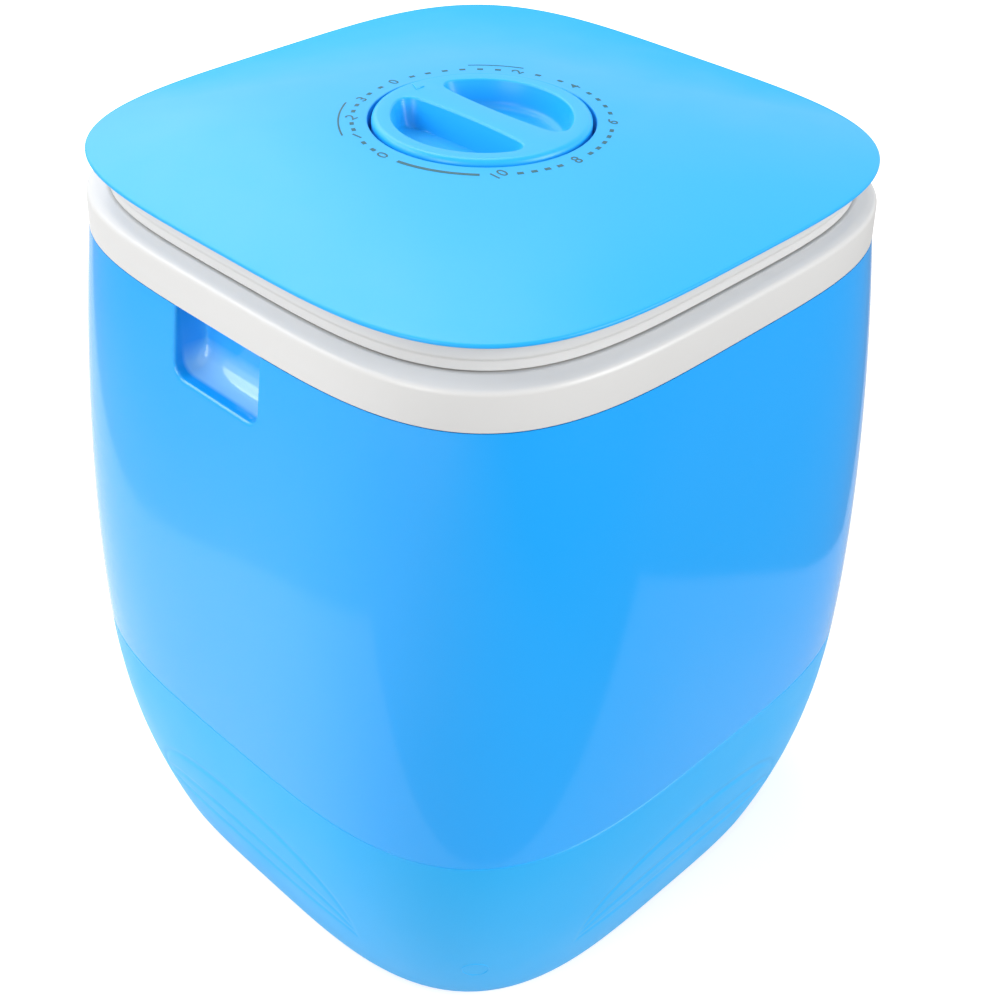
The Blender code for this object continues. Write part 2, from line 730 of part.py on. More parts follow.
def make_base_housing():
    top = SEAM_HEIGHT
    lip_half = body_half(top) - BODY_WALL - CLEARANCE
    squareness = body_squareness(top)
    tongue_top = top + TONGUE_HEIGHT
    start = FOOT_HEIGHT + BASE_EDGE_ROUND
    inner_start = FOOT_HEIGHT + BASE_FLOOR
    rings = [ring(BASE_FLANGE_HALF, BOTTOM_SQUARENESS, FOOT_HEIGHT)]
    rings.append(body_ring(FOOT_HEIGHT, BASE_EDGE_ROUND))
    rings += body_rings(start, top, BASE_STATIONS)
    rings.append(ring(lip_half, squareness, top))
    rings.append(ring(lip_half, squareness, tongue_top))
    rings.append(ring(lip_half - BODY_WALL, squareness, tongue_top))
    rings += reversed(body_rings(inner_start, top, BASE_STATIONS - 2, HOUSING_WALL))
    rings.append(ring(BASE_FLANGE_HALF, BOTTOM_SQUARENESS, inner_start))
    housing = lofted("base_housing", rings, closed=True)
    for turns, face in ((0, "front"), (1, "right"), (3, "left")):
        for number, peak in enumerate(GROOVE_PEAK_HEIGHTS, 1):
            cut(housing, groove(f"groove_{face}_{number}", peak, turns))
    for index, (x, y) in enumerate(four_corners(FOOT_PLACE, FOOT_PLACE), 1):
        hole = FOOT_SCREW_RADIUS + SCREW_HOLE_EASE
        bottom, above = FOOT_HEIGHT - OVERRUN, PLATE_BOTTOM + OVERRUN
        cut(housing, cylinder(f"housing_screw_hole_{index}", hole, bottom, above, x, y, SMALL_STEPS))
    for name, radius, x, z in (
        ("outlet_hole", OUTLET_RADIUS, DRAIN_ASIDE, DRAIN_HEIGHT),
        ("gland_hole", GLAND_RADIUS, -GLAND_ASIDE, GLAND_HEIGHT),
    ):
        inside = body_half(z) - BACK_HOLE_REACH
        hole = cylinder(name, radius + CLEARANCE, inside, BODY_WIDEST_HALF + OVERRUN)
        hole.location = (x, (inside + BODY_WIDEST_HALF + OVERRUN) / 2, z)
        hole.rotation_euler = (math.pi / 2, 0, 0)
        cut(housing, hole)
    return finish(housing, material("base blue", BLUE_BASE, 0.2))


def make_base_plate():
    inset = HOUSING_WALL + PLATE_SIDE_GAP
    rings = [body_ring(height, inset) for height in (PLATE_BOTTOM, PLATE_TOP)]
    plate = lofted("base_plate", rings)
    root = PLATE_BOTTOM + PLATE_THICKNESS / 2
    for index, (x, y) in enumerate(four_corners(FOOT_PLACE, FOOT_PLACE), 1):
        top = PLATE_TOP + PLATE_BOSS_HEIGHT
        join(plate, cylinder(f"foot_boss_{index}", PLATE_BOSS_RADIUS, root, top, x, y))
        hole = FOOT_SCREW_RADIUS + SCREW_HOLE_EASE
        depth = FOOT_SINK_DEPTH + FOOT_SCREW_LENGTH + SCREW_HOLE_EASE
        cut(plate, cylinder(f"foot_boss_hole_{index}", hole, FOOT_HEIGHT, depth, x, y, SMALL_STEPS))
    for index, (x, y) in enumerate(bracket_screw_places(), 1):
        top = BRACKET_BOTTOM - CLEARANCE
        join(plate, cylinder(f"motor_post_{index}", POST_RADIUS, root, top, x, y, SMALL_STEPS))
        hole = SCREW_RADIUS + SCREW_HOLE_EASE
        low = BRACKET_BOTTOM - SCREW_LENGTH
        cut(plate, cylinder(f"motor_post_hole_{index}", hole, low, top + OVERRUN, x, y, SMALL_STEPS))
    cup_inner = CAPACITOR_RADIUS + CUP_GAP
    cup = turned(
        "capacitor_cup",
        [
            (cup_inner + CUP_WALL, PLATE_TOP + CUP_HEIGHT),
            (cup_inner + CUP_WALL, root),
            (cup_inner, root),
            (cup_inner, PLATE_TOP + CUP_HEIGHT),
        ],
        SHAFT_STEPS,
    )
    cup.location = (-CAPACITOR_ASIDE, -CAPACITOR_FORWARD, 0)
    join(plate, cup)
    for index in range(VENT_COUNT):
        x = VENT_PITCH * (index - (VENT_COUNT - 1) / 2)
        low = (x - VENT_WIDTH / 2, -VENT_SETBACK - VENT_LENGTH / 2, PLATE_BOTTOM - OVERRUN)
        high = (x + VENT_WIDTH / 2, -VENT_SETBACK + VENT_LENGTH / 2, PLATE_TOP + OVERRUN)
        cut(plate, box(f"vent_{index + 1}", low, high))
    return finish(plate, material("base plate grey", GREY, 0.5))


def make_feet():
    rubber = material("foot rubber", BLACK_RUBBER, 0.8)
    steel = material("foot screw steel", STEEL, 0.35, 1.0)
    names = ("front_left", "front_right", "rear_left", "rear_right")
    top = FOOT_HEIGHT - CLEARANCE
    hole = FOOT_SCREW_RADIUS + SCREW_HOLE_EASE
    for name, (x, y) in zip(names, four_corners(FOOT_PLACE, FOOT_PLACE)):
        foot = turned(
            f"foot_{name}",
            [
                (FOOT_TOP_RADIUS, top),
                (FOOT_RADIUS, 0),
                (FOOT_SINK_RADIUS, 0),
                (FOOT_SINK_RADIUS, FOOT_SINK_DEPTH),
                (hole, FOOT_SINK_DEPTH),
                (hole, top),
            ],
            ROUND_STEPS,
        )
        foot.location = (x, y, 0)
        finish(foot, rubber)
        seat = FOOT_SINK_DEPTH - CLEARANCE
        held = screw(
            f"foot_screw_{name}",
            (x, y),
            seat,
            FOOT_SCREW_HEAD_RADIUS,
            FOOT_SCREW_HEAD_HEIGHT,
            FOOT_SCREW_RADIUS,
            FOOT_SCREW_LENGTH,
            upwards=True,
        )
        finish(held, steel)


def bracket_screw_places():
    x = BRACKET_WIDTH / 2 - BRACKET_SCREW_INSET
    y = BRACKET_LENGTH / 2 - BRACKET_SCREW_INSET
    return [(a, b + MOTOR_SETBACK) for a, b in four_corners(x, y)]


def motor_screw_places():
    reach = MOTOR_SCREW_CIRCLE / math.sqrt(2)
    return [(a, b + MOTOR_SETBACK) for a, b in four_corners(reach, reach)]


def make_motor():
    steel = material("motor steel", STEEL, 0.4, 1.0)
    dark = material("motor paint", DARK_STEEL, 0.5, 0.6)
    centre = (0, MOTOR_SETBACK)
    hole = SCREW_RADIUS + SCREW_HOLE_EASE
    outlines = [rounded_rectangle(centre, BRACKET_WIDTH / 2, BRACKET_LENGTH / 2, BRACKET_CORNER)]
    outlines.append(circle(centre, MOTOR_SHAFT_HOLE, SHAFT_STEPS))
    outlines += [circle(place, hole) for place in bracket_screw_places() + motor_screw_places()]
    bracket = flat("motor_bracket", outlines, BRACKET_THICKNESS)
    bracket.location = (0, 0, BRACKET_BOTTOM + BRACKET_THICKNESS / 2)
    finish(bracket, steel)
    seat = BRACKET_BOTTOM + BRACKET_THICKNESS + CLEARANCE
    for index, place in enumerate(bracket_screw_places(), 1):
        held = screw(
            f"bracket_screw_{index}",
            place,
            seat,
            SCREW_HEAD_RADIUS,
            SCREW_HEAD_HEIGHT,
            SCREW_RADIUS,
            SCREW_LENGTH,
            upwards=False,
        )
        finish(held, steel)
    top = MOTOR_TOP
    bore = MOTOR_SHAFT_RADIUS + CLEARANCE
    motor = turned(
        "motor_body",
        [
            (0, top + MOTOR_BOSS_HEIGHT),
            (MOTOR_BOSS_RADIUS, top + MOTOR_BOSS_HEIGHT),
            (MOTOR_BOSS_RADIUS, top),
            (MOTOR_BELL_RADIUS, top),
            (MOTOR_RADIUS, top - MOTOR_BELL_HEIGHT),
            (MOTOR_RADIUS, MOTOR_BOTTOM + MOTOR_BELL_HEIGHT),
            (MOTOR_BELL_RADIUS, MOTOR_BOTTOM),
            (bore, MOTOR_BOTTOM),
            (bore, ROTOR_BOTTOM - ROTOR_GAP),
            (ROTOR_RADIUS + ROTOR_GAP, ROTOR_BOTTOM - ROTOR_GAP),
            (ROTOR_RADIUS + ROTOR_GAP, ROTOR_TOP + ROTOR_GAP),
            (bore, ROTOR_TOP + ROTOR_GAP),
            (bore, MOTOR_BOTTOM + MOTOR_SHAFT_SINK + CLEARANCE),
            (0, MOTOR_BOTTOM + MOTOR_SHAFT_SINK + CLEARANCE),
        ],
        steps=COARSE_STEPS,
        closed=False,
    )
    motor.location = (*centre, 0)
    for index, (x, y) in enumerate(motor_screw_places(), 1):
        high = BRACKET_BOTTOM + SCREW_LENGTH
        cut(motor, cylinder(f"motor_screw_hole_{index}", hole, BRACKET_BOTTOM, high, x, y, SMALL_STEPS))
        held = screw(
            f"motor_screw_{index}",
            (x, y),
            BRACKET_BOTTOM - CLEARANCE,
            SCREW_HEAD_RADIUS,
            SCREW_HEAD_HEIGHT,
            SCREW_RADIUS,
            SCREW_LENGTH,
            upwards=True,
        )
        finish(held, steel)
    finish(motor, dark)
    edge = CAPACITOR_RADIUS - CAPACITOR_EDGE
    low, high = PLATE_TOP + CLEARANCE, PLATE_TOP + CAPACITOR_HEIGHT
    capacitor = turned(
        "motor_capacitor",
        [
            (0, high),
            (edge, high),
            (CAPACITOR_RADIUS, high - CAPACITOR_EDGE),
            (CAPACITOR_RADIUS, low + CAPACITOR_EDGE),
            (edge, low),
            (0, low),
        ],
        SHAFT_STEPS,
        closed=False,
    )
    capacitor.location = (-CAPACITOR_ASIDE, -CAPACITOR_FORWARD, 0)
    finish(capacitor, material("capacitor grey", GREY, 0.45))


def pulley_profile(root, bore, web):
    """A grooved pulley's section: lips, groove, then the web between rim and hub."""
    lip = root + BELT_THICKNESS + PULLEY_LIP
    groove_half = BELT_WIDTH / 2 + CLEARANCE
    profile = [
        (lip, PULLEY_TOP),
        (root, BELT_HEIGHT + groove_half),
        (root, BELT_HEIGHT - groove_half),
        (lip, PULLEY_BOTTOM),
    ]
    if web:
        rim = root - PULLEY_RIM
        profile += [
            (rim, PULLEY_BOTTOM),
            (rim, BELT_HEIGHT - PULLEY_WEB / 2),
            (PULLEY_HUB_RADIUS, BELT_HEIGHT - PULLEY_WEB / 2),
            (PULLEY_HUB_RADIUS, PULLEY_BOTTOM),
        ]
    profile += [(bore, PULLEY_BOTTOM), (bore, PULLEY_TOP)]
    if web:
        profile += [
            (PULLEY_HUB_RADIUS, PULLEY_TOP),
            (PULLEY_HUB_RADIUS, BELT_HEIGHT + PULLEY_WEB / 2),
            (rim, BELT_HEIGHT + PULLEY_WEB / 2),
            (rim, PULLEY_TOP),
        ]
    return profile


def belt_outline(grow):
    """The belt's loop round both pulleys, with grow added to both pitch radii."""
    large, small = DRIVE_PITCH_RADIUS + grow, MOTOR_PITCH_RADIUS + grow
    tilt = math.degrees(math.asin((large - small) / MOTOR_SETBACK))
    return arc((0, MOTOR_SETBACK), small, tilt, 180 - tilt, 2 * ARC_STEPS) + arc(
        (0, 0), large, 180 - tilt, 360 + tilt, COARSE_STEPS // 2 + ARC_STEPS
    )


def make_rotor(axis):
    steel = material("rotor steel", STEEL, 0.35, 1.0)
    low = PULLEY_BOTTOM - CLEARANCE
    shaft = cylinder(
        "motor_shaft", MOTOR_SHAFT_RADIUS, low, MOTOR_BOTTOM + MOTOR_SHAFT_SINK, 0, MOTOR_SETBACK
    )
    finish(shaft, steel, axis)
    bore = MOTOR_SHAFT_RADIUS + CLEARANCE
    core = turned(
        "rotor_core",
        [
            (bore, ROTOR_TOP),
            (ROTOR_RADIUS - ROTOR_EDGE, ROTOR_TOP),
            (ROTOR_RADIUS, ROTOR_TOP - ROTOR_EDGE),
            (ROTOR_RADIUS, ROTOR_BOTTOM + ROTOR_EDGE),
            (ROTOR_RADIUS - ROTOR_EDGE, ROTOR_BOTTOM),
            (bore, ROTOR_BOTTOM),
        ],
        SHAFT_STEPS,
    )
    core.location = (0, MOTOR_SETBACK, 0)
    finish(core, material("rotor core steel", DARK_STEEL, 0.5, 0.6), axis)
    profile = pulley_profile(MOTOR_ROOT_RADIUS, bore, web=False)
    pulley = turned("motor_pulley", profile, SHAFT_STEPS)
    pulley.location = (0, MOTOR_SETBACK, 0)
    finish(pulley, material("motor pulley grey", GREY, 0.5), axis)


def make_belt():
    half = BELT_THICKNESS / 2
    belt = flat("drive_belt", [belt_outline(half), belt_outline(-half)], BELT_WIDTH)
    belt.location = (0, 0, BELT_HEIGHT)
    finish(belt, material("belt rubber", BLACK_RUBBER, 0.7))


def make_tub():
    top_inner = TUB_TOP_RADIUS - TUB_WALL
    fillet_centre = (TUB_BOTTOM_RADIUS - TUB_FILLET, TUB_BOTTOM + TUB_FILLET)
    outer_fillet = arc(fillet_centre, TUB_FILLET, 0, -90, FILLET_STEPS)
    inner_fillet = arc(fillet_centre, TUB_FILLET - TUB_WALL, -90, 0, FILLET_STEPS)
    tub = turned(
        "wash_tub",
        [
            (TUB_TOP_RADIUS + TUB_FLANGE, TUB_TOP),
            (TUB_TOP_RADIUS + TUB_FLANGE, TUB_TOP - TUB_WALL),
            (TUB_TOP_RADIUS, TUB_TOP - TUB_WALL),
            *outer_fillet,
            (TUB_HOLE_RADIUS, TUB_BOTTOM),
            (TUB_HOLE_RADIUS, TUB_FLOOR),
            *inner_fillet,
            (top_inner, TUB_TOP),
        ],
        COARSE_STEPS,
    )
    for index in range(TUB_RIBS):
        angle = math.tau * (index + 1) / TUB_RIBS + math.pi / 2
        low_reach = TUB_BOTTOM_RADIUS - TUB_WALL
        bottom, top = TUB_FLOOR + TUB_FILLET, TUB_TOP - TUB_FILLET
        points = [
            (low_reach * math.cos(angle), low_reach * math.sin(angle), bottom),
            (top_inner * math.cos(angle), top_inner * math.sin(angle), top),
        ]
        join(tub, tube(f"tub_rib_{index + 1}", points, TUB_RIB_RADIUS))
    drain = cylinder(
        "tub_drain_hole",
        DRAIN_HOLE_RADIUS,
        TUB_BOTTOM - OVERRUN,
        TUB_FLOOR + OVERRUN,
        DRAIN_ASIDE,
        DRAIN_BACK,
        SMALL_STEPS,
    )
    cut(tub, drain)
    return finish(tub, material("tub white", TUB_WHITE, 0.3))


def inner_seat(across, height):
    """The y at which a flange clears the inside of the housing's back wall."""
    return wall_reach(across, height) - HOUSING_WALL - SEAT_GAP


def make_drain():
    grey = material("drain grey", GREY, 0.5)
    wide = OUTLET_RADIUS + OUTLET_FLANGE
    seat = inner_seat(DRAIN_ASIDE + wide, DRAIN_HEIGHT - wide)
    start = seat - OUTLET_INSIDE
    tip = BODY_WIDEST_HALF - OUTLET_SHORT_OF_WIDEST
    barb = OUTLET_RADIUS - OUTLET_BARB
    outlet = turned(
        "drain_outlet",
        [
            (barb, tip),
            (OUTLET_RADIUS, tip - OUTLET_FLANGE),
            (barb, tip - OUTLET_FLANGE),
            (barb, seat),
            (OUTLET_RADIUS + OUTLET_FLANGE, seat),
            (OUTLET_RADIUS + OUTLET_FLANGE, seat - OUTLET_FLANGE_THICKNESS),
            (OUTLET_RADIUS, seat - OUTLET_FLANGE_THICKNESS),
            (OUTLET_RADIUS, start),
            (OUTLET_BORE, start),
            (OUTLET_BORE, tip),
        ],
        SHAFT_STEPS,
    )
    outlet.rotation_euler = (-math.pi / 2, 0, 0)
    outlet.location = (DRAIN_ASIDE, 0, DRAIN_HEIGHT)
    finish(outlet, grey)
    turn = (DRAIN_BACK + DRAIN_BEND, DRAIN_HEIGHT + DRAIN_BEND)
    points = [(DRAIN_ASIDE, DRAIN_BACK, TUB_BOTTOM - CLEARANCE)]
    points += [(DRAIN_ASIDE, y, z) for y, z in arc(turn, DRAIN_BEND, 180, 270)]
    points.append((DRAIN_ASIDE, start - CLEARANCE, DRAIN_HEIGHT))
    finish(tube("drain_pipe", points, DRAIN_PIPE_RADIUS, 2), grey)
    wide = GLAND_RADIUS + GLAND_FLANGE
    seat = inner_seat(GLAND_ASIDE + wide, GLAND_HEIGHT - wide)
    tip = body_half(GLAND_HEIGHT) + GLAND_PROUD
    gland = turned(
        "cord_gland",
        [
            (GLAND_RADIUS - GLAND_FLANGE, tip),
            (GLAND_RADIUS, seat + GLAND_FLANGE),
            (GLAND_RADIUS, seat),
            (GLAND_RADIUS + GLAND_FLANGE, seat),
            (GLAND_RADIUS + GLAND_FLANGE, seat - GLAND_FLANGE),
            (GLAND_BORE, seat - GLAND_FLANGE),
            (GLAND_BORE, tip),
        ],
        SHAFT_STEPS,
    )
    gland.rotation_euler = (-math.pi / 2, 0, 0)
    gland.location = (-GLAND_ASIDE, 0, GLAND_HEIGHT)
    finish(gland, material("gland rubber", BLACK_RUBBER, 0.6))


def make_bearings():
    steel = material("bearing steel", STEEL, 0.3, 1.0)
    seat_radius = BEARING_RADIUS + CLEARANCE
    low_seat = HOUSING_BOTTOM + BEARING_HEIGHT + CLEARANCE
    high_seat = HOUSING_TOP - SEAL_HEIGHT - BEARING_HEIGHT - CLEARANCE
    housing = turned(
        "bearing_housing",
        [
            (HOUSING_FLANGE_RADIUS, HOUSING_TOP),
            (HOUSING_FLANGE_RADIUS, HOUSING_TOP - HOUSING_FLANGE_THICKNESS),
            (HOUSING_RADIUS, HOUSING_TOP - HOUSING_FLANGE_THICKNESS),
            (HOUSING_RADIUS, HOUSING_BOTTOM),
            (seat_radius, HOUSING_BOTTOM),
            (seat_radius, low_seat),
            (HOUSING_BORE, low_seat),
            (HOUSING_BORE, high_seat),
            (seat_radius, high_seat),
            (seat_radius, HOUSING_TOP),
        ],
        SHAFT_STEPS,
    )
    for index in range(HOUSING_RIBS):
        top = HOUSING_TOP - HOUSING_FLANGE_THICKNESS / 2
        inner = (HOUSING_RADIUS + seat_radius) / 2
        outer = HOUSING_FLANGE_RADIUS - HOUSING_FLANGE_THICKNESS
        outline = [(inner, top), (inner, top - HOUSING_RIB_DROP), (outer, top)]
        rib = flat(f"housing_rib_{index + 1}", [outline], HOUSING_RIB_THICKNESS)
        rib.rotation_euler = (math.pi / 2, 0, math.tau * index / HOUSING_RIBS)
        join(housing, rib)
    finish(housing, material("housing grey", GREY, 0.45, 0.3))
    shaft_gap = SHAFT_RADIUS + CLEARANCE
    for name, low, high in (
        ("bearing_lower", HOUSING_BOTTOM, HOUSING_BOTTOM + BEARING_HEIGHT),
        ("bearing_upper", high_seat + CLEARANCE, high_seat + BEARING_HEIGHT),
        ("shaft_seal", high_seat + BEARING_HEIGHT + CLEARANCE, HOUSING_TOP),
    ):
        race = [(BEARING_RADIUS, high), (BEARING_RADIUS, low), (shaft_gap, low), (shaft_gap, high)]
        made = turned(name, race, SHAFT_STEPS)
        look = material("seal rubber", BLACK_RUBBER, 0.6) if name == "shaft_seal" else steel
        finish(made, look)


def make_drive(axis):
    steel = material("shaft steel", STEEL, 0.3, 1.0)
    nut_top = PULLEY_BOTTOM - CLEARANCE
    stud_low = nut_top - NUT_HEIGHT - STUD_PROUD
    tap = SCREW_RADIUS + SCREW_HOLE_EASE
    tap_low = BOSS_TOP - PULSATOR_SCREW_LENGTH - SCREW_HOLE_EASE
    shaft = turned(
        "drive_shaft",
        [
            (0, tap_low),
            (tap, tap_low),
            (tap, SHAFT_TOP),
            (SHAFT_RADIUS, SHAFT_TOP),
            (SHAFT_RADIUS, PULLEY_TOP + CLEARANCE),
            (SHAFT_STUD_RADIUS, PULLEY_TOP + CLEARANCE),
            (SHAFT_STUD_RADIUS, stud_low),
            (0, stud_low),
        ],
        SHAFT_STEPS,
        closed=False,
    )
    finish(shaft, steel, axis)
    profile = pulley_profile(DRIVE_ROOT_RADIUS, SHAFT_STUD_RADIUS + CLEARANCE, web=True)
    pulley = turned("drive_pulley", profile, COARSE_STEPS)
    hole_circle = (PULLEY_HUB_RADIUS + DRIVE_ROOT_RADIUS - PULLEY_RIM) / 2
    for index in range(PULLEY_HOLES):
        angle = math.tau * index / PULLEY_HOLES
        x, y = hole_circle * math.cos(angle), hole_circle * math.sin(angle)
        name = f"pulley_hole_{index + 1}"
        cut(pulley, cylinder(name, PULLEY_HOLE_RADIUS, PULLEY_BOTTOM, PULLEY_TOP, x, y, SMALL_STEPS))
    finish(pulley, material("drive pulley grey", GREY, 0.5), axis)
    hexagon = circle((0, 0), NUT_RADIUS, 6)
    bore = circle((0, 0), SHAFT_STUD_RADIUS + CLEARANCE, SHAFT_STEPS)
    nut = flat("pulley_nut", [hexagon, bore], NUT_HEIGHT)
    nut.location = (0, 0, nut_top - NUT_HEIGHT / 2)
    finish(nut, steel, axis)


def make_pulsator(axis):
    white = material("pulsator white", TUB_WHITE, 0.3)
    low = PULSATOR_BOTTOM
    socket = SHAFT_RADIUS + CLEARANCE
    socket_top = low + PULSATOR_SOCKET_DEPTH
    tap = SCREW_RADIUS + SCREW_HOLE_EASE
    face = low + PULSATOR_THICKNESS
    rim = PULSATOR_RADIUS - PULSATOR_THICKNESS
    pulsator = turned(
        "pulsator",
        [
            (tap, BOSS_TOP),
            (PULSATOR_BOSS_RADIUS - CLEARANCE, BOSS_TOP),
            (PULSATOR_BOSS_RADIUS, face + PULSATOR_DISH),
            (PULSATOR_BOSS_RADIUS + PULSATOR_DISH, face),
            (rim, face),
            (PULSATOR_RADIUS, face + PULSATOR_DISH),
            (rim, low),
            (socket, low),
            (socket, socket_top),
            (tap, socket_top),
        ],
        COARSE_STEPS,
    )
    middle = (PULSATOR_BOSS_RADIUS + PULSATOR_RADIUS) / 2
    for index in range(VANE_COUNT):
        built = bmesh.new()
        bmesh.ops.create_uvsphere(built, u_segments=SMALL_STEPS, v_segments=ARC_STEPS, radius=1)
        size = (VANE_LENGTH / 2, VANE_WIDTH / 2, VANE_HEIGHT)
        bmesh.ops.scale(built, vec=size, verts=built.verts)
        vane = object_of(f"vane_{index + 1}", built)
        angle = math.tau * index / VANE_COUNT
        vane.location = (middle * math.cos(angle), middle * math.sin(angle), face - CLEARANCE)
        vane.rotation_euler = (0, 0, angle)
        join(pulsator, vane)
    under = cylinder("vane_trim", PULSATOR_RADIUS, low - VANE_HEIGHT, low, steps=TURN_STEPS)
    cut(pulsator, under)
    finish(pulsator, white, axis)
    held = screw(
        "pulsator_screw",
        (0, 0),
        BOSS_TOP + CLEARANCE,
        PULSATOR_SCREW_HEAD_RADIUS,
        PULSATOR_SCREW_HEAD_HEIGHT,
        SCREW_RADIUS,
        PULSATOR_SCREW_LENGTH,
        upwards=False,
    )
    finish(held, material("pulsator screw steel", STEEL, 0.3, 1.0), axis)


def make_basket(axis):
    floor = BASKET_BOTTOM + BASKET_WALL
    socket = PULSATOR_BOSS_RADIUS + CLEARANCE
    hub = socket + BASKET_HUB_WALL
    socket_top = BOSS_TOP + PULSATOR_SCREW_HEAD_HEIGHT + 2 * BASKET_WALL
    skirt_bottom = BASKET_BOTTOM - BASKET_SKIRT
    rim_low = BASKET_TOP - BASKET_RIM_HEIGHT
    fillet_centre = (BASKET_BOTTOM_RADIUS - BASKET_FILLET, BASKET_BOTTOM + BASKET_FILLET)
    basket = turned(
        "spin_basket",
        [
            (0, floor + BASKET_CONE_HEIGHT),
            (BASKET_CONE_TOP_RADIUS, floor + BASKET_CONE_HEIGHT - BASKET_WALL),
            (hub, floor),
            *arc(fillet_centre, BASKET_FILLET - BASKET_WALL, -90, 0, FILLET_STEPS - 1),
            (BASKET_TOP_RADIUS - BASKET_WALL, BASKET_TOP),
            (BASKET_TOP_RADIUS + BASKET_RIM, BASKET_TOP),
            (BASKET_TOP_RADIUS + BASKET_RIM, rim_low),
            (BASKET_TOP_RADIUS, rim_low),
            *arc(fillet_centre, BASKET_FILLET, 0, -90, FILLET_STEPS - 1),
            (hub, BASKET_BOTTOM),
            (hub, skirt_bottom),
            (socket, skirt_bottom),
            (socket, socket_top),
            (0, socket_top),
        ],
        COARSE_STEPS,
        closed=False,
    )
    built = bmesh.new()
    depth = BASKET_RIM + BASKET_WALL + BASKET_TOP_RADIUS - BASKET_BOTTOM_RADIUS + OVERRUN
    slot_height = SLOT_HEIGHT_SHARE * BASKET_HEIGHT
    for column in range(SLOT_COLUMNS):
        angle = math.tau * (column + SLOT_TURN_SHARE) / SLOT_COLUMNS
        for row in range(SLOT_ROWS):
            share = SLOTS_START_SHARE + SLOT_PITCH_SHARE * row
            height = BASKET_BOTTOM + share * BASKET_HEIGHT
            slot = bmesh.ops.create_cube(built, size=1)["verts"]
            bmesh.ops.scale(built, vec=(2 * depth, SLOT_WIDTH, slot_height), verts=slot)
            bmesh.ops.translate(built, vec=(BASKET_BOTTOM_RADIUS, 0, height), verts=slot)
            turn = Matrix.Rotation(angle, 3, "Z")
            bmesh.ops.rotate(built, cent=(0, 0, 0), matrix=turn, verts=slot)
    cut(basket, object_of("basket_slots", built))
    finish(basket, material("basket white", TUB_WHITE, 0.3), axis)


def hinge_sides():
    """Each hinge's name and the x of its middle."""
    return (("left", -HINGE_ASIDE), ("right", HINGE_ASIDE))


def hinge_block(name, reach, down, width, x):
    """A round hinge eye about the axis with a web of the eye's width towards -Y or -Z."""
    if down:
        outline = arc((0, 0), HINGE_RADIUS, 0, 180, HINGE_STEPS)
        outline += [(-HINGE_RADIUS, -reach), (EAR_FOOT_SHARE * HINGE_RADIUS, -reach)]
    else:
        outline = arc((0, 0), HINGE_RADIUS, -90, 90, HINGE_STEPS)
        outline += [(-reach, HINGE_RADIUS), (-reach, -HINGE_RADIUS)]
    made = flat(name, [outline], width)
    made.rotation_euler = (math.pi / 2, 0, math.pi / 2)
    made.location = (x, HINGE_BACK, HINGE_HEIGHT)
    return made


def hinge_bar(name, radius, width, x):
    made = cylinder(name, radius, -width / 2, width / 2, steps=SMALL_STEPS + 2)
    made.rotation_euler = (0, math.pi / 2, 0)
    made.location = (x, HINGE_BACK, HINGE_HEIGHT)
    return made


def hinge_width():
    return KNUCKLE_WIDTH + 2 * (HINGE_SIDE_GAP + EAR_WIDTH)


def make_top_frame():
    square = TOP_SQUARENESS
    band_top = BODY_TOP_HALF - BAND_DRAFT
    crease = CREASE_HEIGHT - CREASE_ROUND
    crease_middle = CREASE_MIDDLE_SHARE * CREASE_ROUND
    low = SHELL_TOP
    ledge_middle = (band_top - CREASE_ROUND + LEDGE_INNER_HALF) / 2
    under_half = band_top - BAND_WALL
    web_half = BODY_TOP_HALF - WEB_REACH
    rings = [
        ring(BODY_TOP_HALF, square, low),
        ring(band_top, square, crease),
        ring(band_top - crease_middle, square, CREASE_HEIGHT - crease_middle),
        ring(band_top - CREASE_ROUND, square, CREASE_HEIGHT),
        ring(ledge_middle, square, CREASE_HEIGHT + LEDGE_MIDDLE_SHARE * LEDGE_RISE),
        ring(LEDGE_INNER_HALF, square, LEDGE_HEIGHT),
        ring(MOUTH_RADIUS + DECK_ROLL, 2, MOUTH_HEIGHT),
        ring(MOUTH_RADIUS, 2, MOUTH_HEIGHT - MOUTH_ROUND),
        ring(MOUTH_RADIUS, 2, DECK_UNDERSIDE),
        ring(under_half - CREASE_ROUND, square, CREASE_HEIGHT - DECK_THICKNESS),
        ring(under_half, square, low + WEB_HEIGHT),
        ring(web_half, square, low + WEB_HEIGHT),
        ring(web_half, square, low),
    ]
    frame = lofted("top_frame", rings, closed=True)
    stem = HINGE_HEIGHT - CREASE_HEIGHT
    offset = KNUCKLE_WIDTH / 2 + HINGE_SIDE_GAP + EAR_WIDTH / 2
    for label, x in hinge_sides():
        for end, way in (("inner", -1), ("outer", 1)):
            ear = hinge_block(f"ear_{label}_{end}", stem, True, EAR_WIDTH, x + way * offset)
            join(frame, ear)
        bore = HINGE_PIN_RADIUS + SCREW_HOLE_EASE
        cut(frame, hinge_bar(f"ear_bore_{label}", bore, hinge_width() + OVERRUN, x))
    return finish(frame, material("collar white", WHITE, 0.3))


def lid_squareness(half):
    """The lid's rings turn from square at its edge to round at the knob's well."""
    share = (half - WELL_RADIUS) / (LID_HALF - WELL_RADIUS)
    return 2 + (TOP_SQUARENESS - 2) * max(share, 0) ** LID_SQUARENESS_POWER


def lid_rise(half):
    return LID_RISE * (1 - (half / LID_HALF) ** 2)


def lid_half_at(x, y):
    """Half width of the lid's ring that passes through a point of its plan."""
    half = max(abs(x), abs(y))
    for _ in range(PLAN_STEPS):
        squareness = lid_squareness(half)
        half = (abs(x) ** squareness + abs(y) ** squareness) ** (1 / squareness)
    return half


def lid_ring(half, base):
    return ring(half, lid_squareness(half), base + lid_rise(half))


